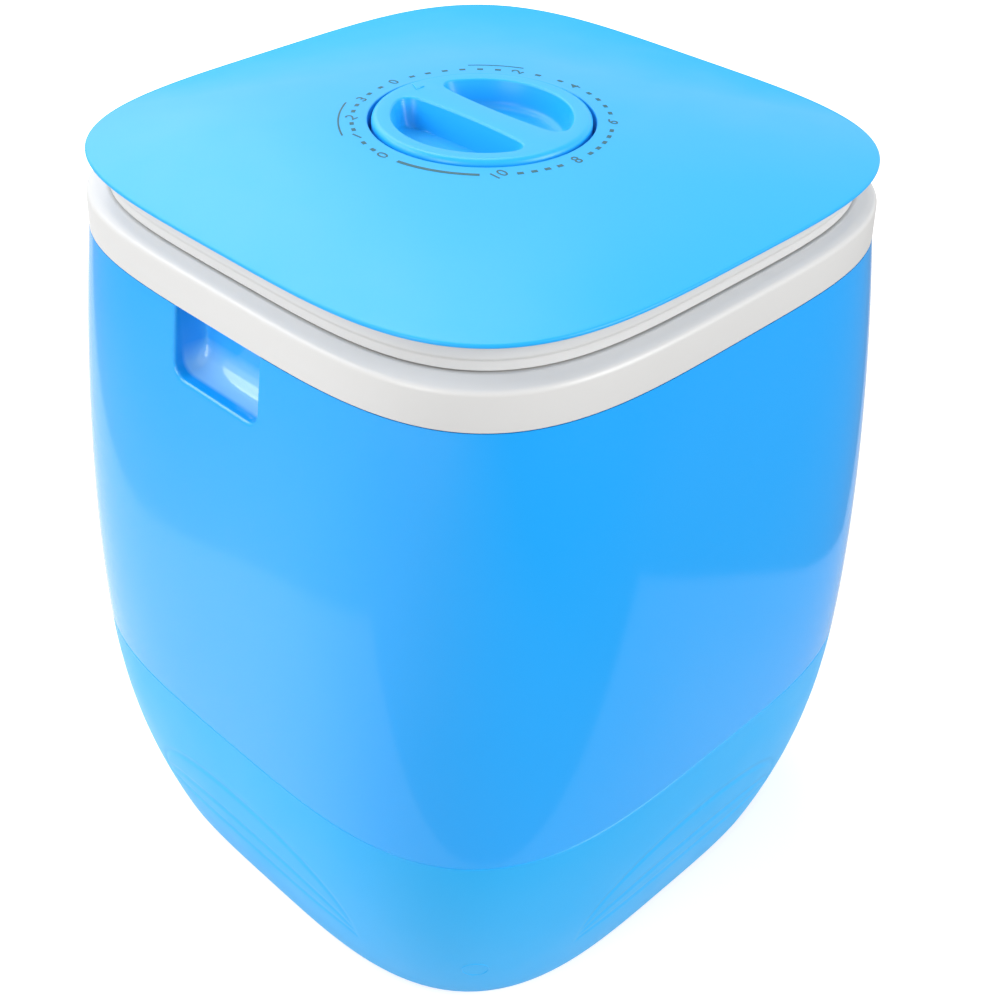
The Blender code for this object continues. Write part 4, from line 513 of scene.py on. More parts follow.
def closed_up(piece):
    """Merges what meets and turns every face outwards."""
    alone(piece)
    edit()
    bpy.ops.mesh.remove_doubles(threshold=MERGE_DISTANCE)
    bpy.ops.mesh.normals_make_consistent(inside=False)
    bpy.ops.object.mode_set(mode="OBJECT")
    return piece


def apply_modifier(piece, name, kind, **settings):
    alone(piece)
    modifier = piece.modifiers.new(name, kind)
    for setting, value in settings.items():
        setattr(modifier, setting, value)
    bpy.ops.object.modifier_apply(modifier=name)


def linked(name, data):
    """An object of that data, put into the scene."""
    made = bpy.data.objects.new(name, data)
    bpy.context.scene.collection.objects.link(made)
    return made


def merged(name, pieces):
    deselect()
    for piece in pieces:
        piece.select_set(True)
    bpy.context.view_layer.objects.active = pieces[0]
    if len(pieces) > 1:
        bpy.ops.object.join()
    return named(name)


def finished(piece, finish, body, slot, *nodes):
    """Gives a piece its material and shading and its body, and hides the imported nodes that it
    stands in for; the slot is not used.
    """
    alone(piece)
    piece.data.materials.clear()
    piece.data.materials.append(look(finish))
    bpy.ops.object.shade_smooth_by_angle(angle=SMOOTH_ANGLE)
    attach(piece, body)
    if nodes:
        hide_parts(*nodes)


def grid_of(name, places):
    """A grid primitive with one vertex at each of the places, given in rows."""
    rows, columns = places.shape[:2]
    deselect()
    bpy.ops.mesh.primitive_grid_add(x_subdivisions=columns - 1, y_subdivisions=rows - 1, size=1)
    piece = named(name)
    piece.data.vertices.foreach_set("co", places.reshape(-1))
    piece.data.update()
    return piece


def laid_round(name, rings, closed=True):
    """A grid laid round the plan, a ring to a row; closed joins its last row to its first."""
    rings = [np.vstack((ring, ring[:1])) for ring in rings]
    if closed:
        rings.append(rings[0])
    return closed_up(grid_of(name, np.array(rings)))


def spun(name, profile, steps=TURN_STEPS, closed=True):
    """A section of (radius, height) drawn as edges and spun once round Z."""
    drawn = bmesh.new()
    points = [drawn.verts.new((radius, 0, height)) for radius, height in profile]
    for first, second in zip(points, points[1:]):
        drawn.edges.new((first, second))
    if closed:
        drawn.edges.new((points[-1], points[0]))
    mesh = bpy.data.meshes.new(name)
    drawn.to_mesh(mesh)
    drawn.free()
    piece = linked(name, mesh)
    alone(piece)
    edit()
    bpy.ops.mesh.spin(steps=steps, angle=math.tau, center=(0, 0, 0), axis=(0, 0, 1))
    bpy.ops.object.mode_set(mode="OBJECT")
    return closed_up(piece)


def softened(corners, steps=CORNER_STEPS, cyclic=True):
    """A section whose corners (half, squareness, height, round) are rounded by small curves."""
    section = []
    count = len(corners)
    for index, (half, squareness, height, soft) in enumerate(corners):
        here = np.array((half, squareness, height))
        at_end = not cyclic and index in (0, count - 1)
        if not soft or at_end:
            section.append(here)
            continue
        ends = []
        for other in (corners[index - 1], corners[(index + 1) % count]):
            there = np.array(other[:3])
            reach = math.hypot(there[0] - half, there[2] - height)
            ends.append(here + (there - here) * min(soft / reach, ROUND_REACH))
        for step in range(steps + 1):
            share = step / steps
            near, far = (1 - share) ** 2, share**2
            section.append(near * ends[0] + 2 * share * (1 - share) * here + far * ends[1])
    return section


def round_section(corners, steps=CORNER_STEPS, cyclic=True):
    """The same for a turned piece, whose corners are (radius, height, round)."""
    section = softened([(r, 2, z, soft) for r, z, soft in corners], steps, cyclic)
    return [(point[0], point[2]) for point in section]


def plan_directions(steps):
    """Unit directions round the plan, closer together towards its corners."""
    even = np.arange(steps) * math.tau / steps
    angle = even + PLAN_CORNER_SHARE * np.sin(4 * even) / 4
    return np.column_stack((np.cos(angle), np.sin(angle)))


def ring(directions, half, squareness, height):
    spread = (np.abs(directions) ** squareness).sum(axis=1) ** (1 / squareness)
    flat = directions * (half / spread)[:, None]
    return np.column_stack((flat, np.full(len(flat), height)))


def quarter_turn(steps, count):
    """The first few of the angles that divide a quarter turn into equal steps."""
    return [math.pi / 2 * step / steps for step in range(count)]


def rings_of(directions, section):
    return [ring(directions, *point) for point in section]


def body_half(height):
    if height >= WIDEST_HEIGHT:
        share = (height - WIDEST_HEIGHT) / (SHELL_TOP - WIDEST_HEIGHT)
        return BODY_WIDEST_HALF - (BODY_WIDEST_HALF - BODY_TOP_HALF) * share**UPPER_BULGE_POWER
    share = (WIDEST_HEIGHT - height) / (WIDEST_HEIGHT - FOOT_HEIGHT)
    return BODY_WIDEST_HALF - (BODY_WIDEST_HALF - BODY_BOTTOM_HALF) * share**LOWER_BULGE_POWER


def body_squareness(height):
    share = (height - FOOT_HEIGHT) / (SHELL_TOP - FOOT_HEIGHT)
    return BOTTOM_SQUARENESS + (TOP_SQUARENESS - BOTTOM_SQUARENESS) * share


def wall_reach(across, height):
    """How far out the body's face lies, at a place across the face and a height."""
    half, squareness = body_half(height), body_squareness(height)
    return half * (1 - abs(across / half) ** squareness) ** (1 / squareness)


def body_ring(directions, height, inset=0.0):
    return ring(directions, body_half(height) - inset, body_squareness(height), height)


def lid_squareness(half):
    share = np.maximum((half - WELL_RADIUS) / (LID_HALF - WELL_RADIUS), 0)
    return 2 + (TOP_SQUARENESS - 2) * share**LID_SQUARENESS_POWER


def lid_rise(half):
    return LID_RISE * (1 - (half / LID_HALF) ** 2)


def lid_height(x, y):
    """Height of the lid's dome over places of its plan."""
    half = np.maximum(np.abs(x), np.abs(y))
    for _ in range(SMALL_TURN_STEPS):
        squareness = lid_squareness(half)
        half = (np.abs(x) ** squareness + np.abs(y) ** squareness) ** (1 / squareness)
    return LID_TOP_EDGE + lid_rise(half)


def smooth_least(first, second, blend):
    """The smaller of two values, with a soft change from one to the other."""
    share = np.clip(0.5 + 0.5 * (second - first) / blend, 0, 1)
    return second + (first - second) * share - blend * share * (1 - share)


# Finishes: node groups that several materials share


def feed(tree, socket, value):
    """Sets a socket to a number or colour, or links another node's output to it."""
    if isinstance(value, (int, float, tuple)):
        socket.default_value = value
    else:
        tree.links.new(value, socket)


def add_node(tree, kind, **settings):
    node = tree.nodes.new(kind)
    for setting, value in settings.items():
        setattr(node, setting, value)
    return node


def arithmetic(tree, operation, result, *others):
    """Takes each further value into the first one by the same operation."""
    for other in others:
        node = add_node(tree, "ShaderNodeMath", operation=operation)
        feed(tree, node.inputs[0], result)
        feed(tree, node.inputs[1], other)
        result = node.outputs[0]
    return result


def times(tree, *values):
    return arithmetic(tree, "MULTIPLY", *values)


def plus(tree, *values):
    return arithmetic(tree, "ADD", *values)


def parts_of(tree, vector):
    """The X, Y and Z of a vector."""
    node = add_node(tree, "ShaderNodeSeparateXYZ")
    feed(tree, node.inputs[0], vector)
    return node.outputs


def stretched(tree, vector, scale, turn=(0, 0, 0)):
    node = add_node(tree, "ShaderNodeMapping")
    for label, value in (("Vector", vector), ("Rotation", turn), ("Scale", scale)):
        feed(tree, node.inputs[label], value)
    return node.outputs[0]


def noise(tree, vector, scale, detail=1, roughness=0.5):
    node = add_node(tree, "ShaderNodeTexNoise")
    given = (vector, scale, detail, roughness)
    for label, value in zip(("Vector", "Scale", "Detail", "Roughness"), given):
        feed(tree, node.inputs[label], value)
    return node.outputs["Fac"]


def ranged(tree, value, low, high, new_low, new_high):
    node = add_node(tree, "ShaderNodeMapRange")
    given = (value, low, high, new_low, new_high)
    for label, number in zip(("Value", "From Min", "From Max", "To Min", "To Max"), given):
        feed(tree, node.inputs[label], number)
    return node.outputs["Result"]


def mixed(tree, factor, first, second, blend="MIX"):
    node = add_node(tree, "ShaderNodeMix", data_type="RGBA", blend_type=blend)
    for socket, value in zip(COLOUR_MIX_SOCKETS, (factor, first, second)):
        feed(tree, node.inputs[socket], value)
    return node.outputs[2]


def socket_kind(value):
    if isinstance(value, tuple):
        return "NodeSocketVector" if len(value) == 3 else "NodeSocketColor"
    return "NodeSocketFloat"


def new_group(name, results, **inputs):
    """An effect with a place, a colour and other inputs; it gives a colour and other results."""
    tree = bpy.data.node_groups.new(name, "ShaderNodeTree")
    for label, value in {"Vector": (0, 0, 0), "Colour": GREY, **inputs}.items():
        label, kind = label.replace("_", " "), socket_kind(value)
        socket = tree.interface.new_socket(label, in_out="INPUT", socket_type=kind)
        socket.default_value = value
    for label, value in {"Colour": GREY, **dict.fromkeys(results, 0.0)}.items():
        tree.interface.new_socket(label, in_out="OUTPUT", socket_type=socket_kind(value))
    given, result = tree.nodes.new("NodeGroupInput"), tree.nodes.new("NodeGroupOutput")
    return tree, given.outputs, result.inputs


def make_moulded_skin():
    """Moulded plastic: cloudy mottling, uneven sheen, flow ripple and the mould's fine skin."""
    tree, given, result = new_group(
        "moulded_skin", ("Roughness", "Height"), Mottle=0.04, Roughness=0.2, Grain=0.2, Ripple=0.2
    )
    place, tint = given["Vector"], given["Colour"]
    spread = ranged(tree, noise(tree, place, CLOUD_SCALE), NOISE_LOW, NOISE_HIGH, 0, 1)
    darker = mixed(tree, 1.0, tint, MOTTLE_SHADE, "MULTIPLY")
    clouded = mixed(tree, spread, darker, mixed(tree, MOTTLE_PALENESS, tint, WHITE))
    sheen = ranged(tree, noise(tree, place, SHEEN_SCALE), NOISE_LOW, NOISE_HIGH, *SHEEN_RANGE)
    grain = times(tree, noise(tree, place, GRAIN_SCALE, 2), given["Grain"])
    ripple = times(tree, noise(tree, place, RIPPLE_SCALE), given["Ripple"], RIPPLE_HEIGHT)
    feed(tree, result["Colour"], mixed(tree, given["Mottle"], tint, clouded))
    feed(tree, result["Roughness"], times(tree, given["Roughness"], sheen))
    feed(tree, result["Height"], plus(tree, grain, ripple))
    return tree


def make_settled_dust():
    """A trace of dust on what faces up, and fine wiping marks in the gloss."""
    tree, given, result = new_group(
        "settled_dust", ("Roughness",), Roughness=0.2, Amount=0.1, Wiping=0.1
    )
    place = given["Vector"]
    normal = add_node(tree, "ShaderNodeNewGeometry").outputs["Normal"]
    upward = ranged(tree, parts_of(tree, normal)["Z"], DUST_SLOPE, 1.0, 0, 1)
    speck = noise(tree, place, SPECK_SCALE, 3, SPECK_ROUGHNESS)
    speck = ranged(tree, speck, *SPECK_RANGE, 0, 1)
    drift = noise(tree, place, DRIFT_SCALE)
    drift = ranged(tree, drift, NOISE_LOW, NOISE_HIGH, DRIFT_LEAST, 1)
    dust = times(tree, speck, drift, upward, given["Amount"])
    wiped = stretched(tree, place, WIPING_STRETCH, WIPING_TURN)
    marks = ranged(tree, noise(tree, wiped, WIPING_SCALE), *WIPING_RANGE, 0, 1)
    marks = times(tree, marks, given["Wiping"])
    dulled = times(tree, marks, WIPING_DULLNESS), times(tree, dust, DUST_DULLNESS)
    feed(tree, result["Colour"], mixed(tree, dust, given["Colour"], DUST_TINT))
    feed(tree, result["Roughness"], plus(tree, given["Roughness"], *dulled))
    return tree


def make_machined_metal():
    """Rolled or turned metal: fine directional lines, dull patches and a stain in places."""
    tree, given, result = new_group(
        "machined_metal",
        ("Roughness", "Height"),
        Stain=STAIN_TINT,
        Stain_Amount=0.2,
        Roughness=0.3,
        Lines=0.3,
    )
    place = given["Vector"]
    along = stretched(tree, place, LINES_STRETCH)
    lines = noise(tree, along, LINES_SCALE, 3, METAL_ROUGHNESS)
    patch = noise(tree, place, PATCH_SCALE, 4, METAL_ROUGHNESS)
    stain = times(tree, ranged(tree, patch, *PATCH_RANGE, 0, 1), given["Stain Amount"])
    shade = mixed(tree, given["Lines"], given["Colour"], lines, "OVERLAY")
    rougher = plus(tree, given["Roughness"], times(tree, stain, STAIN_DULLNESS))
    feed(tree, result["Colour"], mixed(tree, stain, shade, given["Stain"]))
    feed(tree, result["Roughness"], rougher)
    feed(tree, result["Height"], times(tree, lines, given["Lines"]))
    return tree


GROUP_MAKERS = {
    "moulded_skin": make_moulded_skin,
    "settled_dust": make_settled_dust,
    "machined_metal": make_machined_metal,
}


def group_outputs(tree, name, vector, **values):
    """Places a shared effect in a material, with the material's own values."""
    node = add_node(tree, "ShaderNodeGroup")
    node.node_tree = bpy.data.node_groups.get(name) or GROUP_MAKERS[name]()
    for label, value in {"Vector": vector, **values}.items():
        feed(tree, node.inputs[label.replace("_", " ")], value)
    return node.outputs


def new_material(name):
    made = bpy.data.materials.new(name)
    made.use_nodes = True
    tree = made.node_tree
    place = add_node(tree, "ShaderNodeTexCoord").outputs["Object"]
    return made, tree, tree.nodes["Principled BSDF"].inputs, place


def dressed(tree, shader, colour_from, roughness_from, height_from):
    """Feeds an effect's results to the shader, its height through a fine bump."""
    feed(tree, shader["Base Color"], colour_from["Colour"])
    feed(tree, shader["Roughness"], roughness_from["Roughness"])
    node = add_node(tree, "ShaderNodeBump")
    node.inputs["Strength"].default_value = 1.0
    node.inputs["Distance"].default_value = BUMP_HEIGHT
    feed(tree, node.inputs["Height"], height_from["Height"])
    feed(tree, shader["Normal"], node.outputs["Normal"])


def plastic(
    name, tint, gloss, shine=0.5, mottle=0.05, grain=0.15, ripple=0.15, dust=0.06, wiping=0.05
):
    """A moulded plastic: its tint is a colour, or the name of one that the user can change."""
    made, tree, shader, place = new_material(name)
    tint = getattr(colours(), tint) if isinstance(tint, str) else tint
    values = {"Mottle": mottle, "Roughness": gloss, "Grain": grain, "Ripple": ripple}
    skin = group_outputs(tree, "moulded_skin", place, Colour=(*tint, 1.0), **values)
    values = {"Colour": skin["Colour"], "Roughness": skin["Roughness"]}
    over = group_outputs(tree, "settled_dust", place, Amount=dust, Wiping=wiping, **values)
    shader["Specular IOR Level"].default_value = shine
    dressed(tree, shader, over, over, skin)
    return made, tree, shader, place, over


def metal(name, tint, gloss, stain=0.15, lines=0.25):
    made, tree, shader, place = new_material(name)
    values = {"Stain_Amount": stain, "Roughness": gloss, "Lines": lines}
    skin = group_outputs(tree, "machined_metal", place, Colour=(*tint, 1.0), **values)
    shader["Metallic"].default_value = 1.0
    dressed(tree, shader, skin, skin, skin)
    return made


def spread_sheen(tree, shader, _place, skin):
    """The sheen of the lid and knob spreads out where they are seen at a low angle."""
    glance = add_node(tree, "ShaderNodeLayerWeight").outputs["Facing"]
    spread = ranged(tree, glance, GLANCE_START, GLANCE_END, 0, GLANCE_SPREAD)
    feed(tree, shader["Roughness"], plus(tree, skin["Roughness"], spread))


def painted_recess_light(tree, shader, place, skin):
    """Painted light: the hand recesses are painted paler, most of all just over the sill, as
    painted bounce light and highlight.
    """
    x, y, z = parts_of(tree, place)
    aside = arithmetic(tree, "ABSOLUTE", x, 0)
    across = arithmetic(tree, "ABSOLUTE", y, 0)
    sill, beside = SHELL_TOP - RECESS_DROP, RECESS_WIDTH / 2
    start, end = BODY_TOP_HALF - RECESS_LIGHT_START, BODY_TOP_HALF - RECESS_LIGHT_END
    # thin holds the share of painted light: deeper in the recess, within its width, and most just
    # over the sill
    thin = times(
        tree,
        ranged(tree, aside, start, end, 0, RECESS_LIGHT_AMOUNT),
        ranged(tree, across, beside, beside + RECESS_LIGHT_FADE, 1, 0),
        ranged(tree, z, sill - RECESS_LIGHT_FADE, sill, 0, 1),
        ranged(tree, z, sill + RECESS_LIGHT_TOP, sill + RECESS_LIGHT_LOW, RECESS_LIGHT_BACK_SHARE, 1),
    )
    feed(tree, shader["Base Color"], mixed(tree, thin, skin["Colour"], RECESS_LIGHT_TINT))


def pale_foot(tree, shader, place, skin):
    """The base pales a little towards the floor."""
    low = ranged(tree, parts_of(tree, place)["Z"], SEAM_HEIGHT, FOOT_HEIGHT, 0, BASE_PALENESS)
    feed(tree, shader["Base Color"], mixed(tree, low, skin["Colour"], BASE_FOOT_TINT))


SPOTLESS = dict(dust=0.01, wiping=0.02)
PLASTICS = {
    "lid gloss": dict(tint="lid", gloss=0.34, shine=0.32, mottle=0.03, grain=0.1, **SPOTLESS),
    "knob gloss": dict(tint="knob", gloss=0.34, shine=0.38, mottle=0.03, grain=0.08, **SPOTLESS),
    "shell gloss": dict(tint="shell", gloss=0.1, mottle=0.03, grain=0.04, **SPOTLESS),
    "base gloss": dict(
        tint="base", gloss=0.34, shine=0.3, mottle=0.04, grain=0.06, dust=0.02, wiping=0.02
    ),
    "collar satin": dict(
        tint="collar", gloss=0.35, mottle=0.02, grain=0.15, dust=0.02, wiping=0.01
    ),
    "drum plastic": dict(tint="drum", gloss=0.36, mottle=0.06, grain=0.3, wiping=0.1),
    "dial print": dict(tint="printing", gloss=0.6, shine=0.2, mottle=0.25, grain=0.6, dust=0.1),
    "grey moulding": dict(tint=(0.20, 0.21, 0.22), gloss=0.5, mottle=0.12, grain=0.5, dust=0.3),
    "black rubber": dict(
        tint=(0.022, 0.022, 0.024), gloss=0.72, mottle=0.2, grain=1.0, dust=0.3
    ),
    "capacitor case": dict(tint=(0.32, 0.33, 0.35), gloss=0.4, mottle=0.1, grain=0.3, dust=0.2),
    "motor paint": dict(tint=(0.05, 0.055, 0.06), gloss=0.42, mottle=0.2, grain=0.8, dust=0.3),
}
METALS = {
    "bright steel": dict(tint=(0.62, 0.62, 0.61), gloss=0.22),
    "core steel": dict(tint=(0.32, 0.31, 0.30), gloss=0.42, stain=0.5, lines=0.5),
}
TOUCHES = {
    "lid gloss": spread_sheen,
    "knob gloss": spread_sheen,
    "shell gloss": painted_recess_light,
    "base gloss": pale_foot,
}


def look(name):
    """The finish of that name, made when it is first asked for."""
    found = bpy.data.materials.get(name)
    if found:
        return found
    if name in METALS:
        return metal(name, **METALS[name])
    made, *parts = plastic(name, **PLASTICS[name])
    if name in TOUCHES:
        TOUCHES[name](*parts)
    return made


# The pieces


def make_shell():
    """The upper body: a skin laid round the plan, with a hand recess set into each side."""
    low, high = SEAM_HEIGHT + SEAM_GAP, SHELL_TOP - CLEARANCE
    directions = plan_directions(SHELL_COLUMNS)
    heights = low + (high - low) * np.arange(SHELL_ROWS + 1) / SHELL_ROWS
    rings = np.array([body_ring(directions, height) for height in heights])
    window_half = RECESS_WIDTH / 2 + RECESS_MARGIN
    window_low = SHELL_TOP - RECESS_DROP - RECESS_MARGIN
    first_row = int(np.argmax(heights >= window_low))
    outer = grid_of("shell_skin", np.concatenate((rings, rings[:, :1]), axis=1))
    window = []
    patches = []
    for side in (-1, 1):
        middle = SHELL_COLUMNS // 2 if side < 0 else 0
        reach = int(np.sum(np.abs(rings[-1][:, 1][rings[-1][:, 0] * side > 0]) < window_half)) // 2
        columns = [(middle + step) % SHELL_COLUMNS for step in range(-reach, reach + 1)]
        for row in range(first_row, SHELL_ROWS):
            window += [row * SHELL_COLUMNS + column for column in columns[:-1]]
        border = [rings[row][columns[0]] for row in range(SHELL_ROWS, first_row, -1)]
        border += [rings[first_row][column] for column in columns]
        border += [rings[row][columns[-1]] for row in range(first_row + 1, SHELL_ROWS + 1)]
        patches.append(recess_patch(side, np.array(border), SHELL_ROWS - first_row))
    work = bmesh.new()
    work.from_mesh(outer.data)
    work.faces.ensure_lookup_table()
    bmesh.ops.delete(work, geom=[work.faces[index] for index in window], context="FACES")
    work.to_mesh(outer.data)
    work.free()
    shell = closed_up(merged("shell_skin", [outer, *patches]))
    outwards = max(shell.data.polygons, key=lambda face: face.center.x)
    if outwards.normal.x < 0:
        edit()
        bpy.ops.mesh.flip_normals()
        bpy.ops.object.mode_set(mode="OBJECT")
    apply_modifier(shell, "wall", "SOLIDIFY", thickness=BODY_WALL, offset=-1)
    finished(shell, "shell gloss", "cabinet", "shell_blue", "outer_shell")


def recess_outline(count, rise_count, heights, half_width, sill, corner):
    """A U of places (y, z): down one side, round under the sill and up the other side."""
    lowest_side = sill + corner
    turn = np.linspace(0, math.pi / 2, COVE_STEPS + 1)
    left = [
        (-half_width + corner * (1 - math.cos(bend)), sill + corner * (1 - math.sin(bend)))
        for bend in turn
    ]
    path = np.array(left + [(-y, z) for y, z in reversed(left)])
    side = [z for z in heights[:rise_count] if z > lowest_side + corner * RECESS_SIDE_START]
    rest = count - 2 * len(side)
    start = np.array([(-half_width, side[-1] - (side[-1] - lowest_side) * 0.5)])
    path = np.vstack((start, path, start * (-1, 1)))
    gaps = np.hypot(*np.diff(path, axis=0).T)
    run = np.concatenate(((0,), np.cumsum(gaps)))
    even = np.linspace(0, run[-1], rest)
    bottom = np.column_stack((np.interp(even, run, path[:, 0]), np.interp(even, run, path[:, 1])))
    down = [(-half_width, z) for z in side]
    up = [(half_width, z) for z in reversed(side)]
    return np.vstack((down, bottom, up))


def recess_patch(side, border, rise_count):
    """The skin round one recess and its hollow, from the window's border to the recess's back."""
    lip = sizes().lip_round
    count = len(border)
    flip = 1 if side > 0 else -1
    if border[0][1] > 0:
        border = border[::-1]
    heights = border[:rise_count, 2]
    half_width, sill = RECESS_WIDTH / 2, SHELL_TOP - RECESS_DROP
    back = BODY_TOP_HALF - RECESS_DEPTH

    def outline(grow, lift=0.0):
        wide = half_width + grow - RECESS_SIDE_COVE * lift
        floor = sill + RECESS_COVE * lift - grow
        return recess_outline(count, rise_count, heights, wide, floor, RECESS_CORNER + grow)

    def on_wall(flat, depth):
        reach = np.array([wall_reach(y, z) - depth for y, z in flat])
        return np.column_stack((flip * reach, flat))

    rings = []
    outer = border[:, 1:]
    mouth = outline(lip)
    for share in RECESS_RUN_IN:
        rings.append(on_wall(outer * (1 - share) + mouth * share, 0))
    rings[0] = border
    for turn in quarter_turn(LIP_STEPS, LIP_STEPS + 1):
        rings.append(on_wall(outline(lip * (1 - math.sin(turn))), lip * (1 - math.cos(turn))))
    wall_end = back + RECESS_COVE
    last = rings[-1]
    straight = outline(0)
    level = np.full((count, 1), flip * wall_end)
    target = np.hstack((level, straight))
    for share in RECESS_WALL_SHARES:
        rings.append(last * (1 - share) + target * share)
    for turn in quarter_turn(COVE_STEPS, COVE_STEPS + 1):
        reach = back + RECESS_COVE * (1 - math.sin(turn))
        flat = outline(0, 1 - math.cos(turn))
        rings.append(np.hstack((np.full((count, 1), flip * reach), flat)))
    centre = np.array((flip * back, 0, heights[0]))
    edge = rings[-1]
    for step in range(1, BACK_STEPS + 1):
        share = step / BACK_STEPS
        rings.append(edge * (1 - share) + centre * share)
    return grid_of(f"recess_{'right' if side > 0 else 'left'}", np.array(rings))


def groove_depths(across, heights):
    """How deep the arched grooves lie under places of a face, by their distance from each arch."""
    reach = sizes().groove_half
    turns = np.linspace(0, math.pi, GROOVE_POINTS)
    power = 2 / GROOVE_ARCH_POWER
    along = GROOVE_REACH * np.sign(np.cos(turns)) * np.abs(np.cos(turns)) ** power
    rise = np.abs(np.sin(turns)) ** power
    swell = GROOVE_END_SHARE + (1 - GROOVE_END_SHARE) * np.sqrt(np.abs(np.sin(turns)))
    depth = np.zeros(len(across))
    for peak in GROOVE_PEAK_HEIGHTS:
        up = GROOVE_FOOT_HEIGHT + (peak - GROOVE_FOOT_HEIGHT) * rise
        far = np.hypot(across[:, None] - along, heights[:, None] - up)
        nearest = far.argmin(axis=1)
        gap = far[np.arange(len(across)), nearest] / (reach * swell[nearest])
        cut = 0.5 * (1 + np.cos(math.pi * np.clip(gap, 0, 1))) * swell[nearest]
        depth = np.maximum(depth, cut * sizes().groove_depth)
    return depth


def base_directions():
    """Directions round the base: close together over the three grooved faces."""
    edge = GROOVE_REACH + GROOVE_MARGIN
    fine = np.linspace(-edge, edge, int(2 * edge / GROOVE_SPACING) + 1)
    coarse = np.linspace(-edge, edge, BASE_BACK_STEPS + 1)
    middle = (SEAM_HEIGHT + FOOT_HEIGHT) / 2
    angles = []
    for quarter, across in ((-1, fine), (0, fine), (1, coarse), (2, fine)):
        out = np.array([wall_reach(u, middle) for u in across])
        face = np.arctan2(across, out) + quarter * math.pi / 2
        gap = math.pi / 2 - 2 * math.atan2(edge, out[0])
        corner = face[-1] + gap * np.arange(1, BASE_CORNER_STEPS) / BASE_CORNER_STEPS
        angles.append(np.concatenate((face, corner)))
    angles = np.concatenate(angles)
    return np.column_stack((np.cos(angles), np.sin(angles)))


def make_base():
    """The lower housing: its arched grooves, bottom flange and the tongue under the seam."""
    directions = base_directions()
    low = GROOVE_FOOT_HEIGHT - GROOVE_MARGIN / 2
    high = GROOVE_PEAK_HEIGHTS[0] + GROOVE_MARGIN / 2
    start = FOOT_HEIGHT + BASE_EDGE_ROUND
    heights = np.concatenate(
        (
            np.linspace(start, low, BASE_FOOT_ROWS)[:-1],
            np.linspace(low, high, int((high - low) / GROOVE_SPACING))[:-1],
            np.linspace(high, SEAM_HEIGHT - EDGE_SOFTNESS, BASE_TOP_ROWS),
        )
    )
    outer = np.array([body_ring(directions, height) for height in heights])
    flat = outer.reshape(-1, 3)
    for axis, sign in ((1, -1), (0, 1), (0, -1)):
        across = flat[:, 1 - axis]
        facing = flat[:, axis] * sign > np.abs(across)
        near = np.flatnonzero(facing & (np.abs(across) < GROOVE_REACH + GROOVE_MARGIN))
        flat[near, axis] -= sign * groove_depths(across[near], flat[near, 2])
    outer = flat.reshape(outer.shape)
    rings = [ring(directions, BASE_FLANGE_HALF, BOTTOM_SQUARENESS, FOOT_HEIGHT)]
    for turn in quarter_turn(CORNER_STEPS, CORNER_STEPS):
        inset = BASE_EDGE_ROUND * (1 - math.sin(turn))
        height = FOOT_HEIGHT + BASE_EDGE_ROUND * (1 - math.cos(turn))
        rings.append(body_ring(directions, height, inset))
    rings += list(outer)
    top_half, squareness = body_half(SEAM_HEIGHT), body_squareness(SEAM_HEIGHT)
    lip = top_half - BODY_WALL - CLEARANCE
    tongue = SEAM_HEIGHT + TONGUE_HEIGHT
    rings += [
        ring(directions, half, squareness, height)
        for half, height in (
            (top_half - EDGE_SOFTNESS, SEAM_HEIGHT),
            (lip, SEAM_HEIGHT),
            (lip, tongue),
            (lip - BODY_WALL, tongue),
        )
    ]
    inner_start = FOOT_HEIGHT + BASE_FLOOR
    for height in (SEAM_HEIGHT, (SEAM_HEIGHT + inner_start) / 2, inner_start):
        rings.append(body_ring(directions, height, HOUSING_WALL))
    rings.append(ring(directions, BASE_FLANGE_HALF, BOTTOM_SQUARENESS, inner_start))
    base = laid_round("base_skin", rings)
    finished(base, "base gloss", "cabinet", "base_blue", "base_housing")


def make_mould_mark():
    """The faint round mark that the mould leaves low on the near corner."""
    turns = np.arange(SMALL_TURN_STEPS) * math.tau / SMALL_TURN_STEPS
    middle = Vector((-1, -1, 0)).normalized()
    aside = Vector((0, 0, 1)).cross(middle)
    rings = []
    for wide, high in MARK_SECTION:
        radius = MARK_RADIUS + wide * MM
        heights = MARK_HEIGHT + radius * np.sin(turns)
        flat = np.outer(radius * np.cos(turns) + MARK_ASIDE, aside[:2])
        flat += MARK_REACH * np.array(middle[:2])
        flat /= np.hypot(*flat.T)[:, None]
        places = [
            body_ring(direction[None, :], height, -high * MM)[0]
            for direction, height in zip(flat, heights)
        ]
        rings.append(np.array(places))
    mark = laid_round("mould_mark", rings)
    finished(mark, "base gloss", "cabinet", "base_blue")


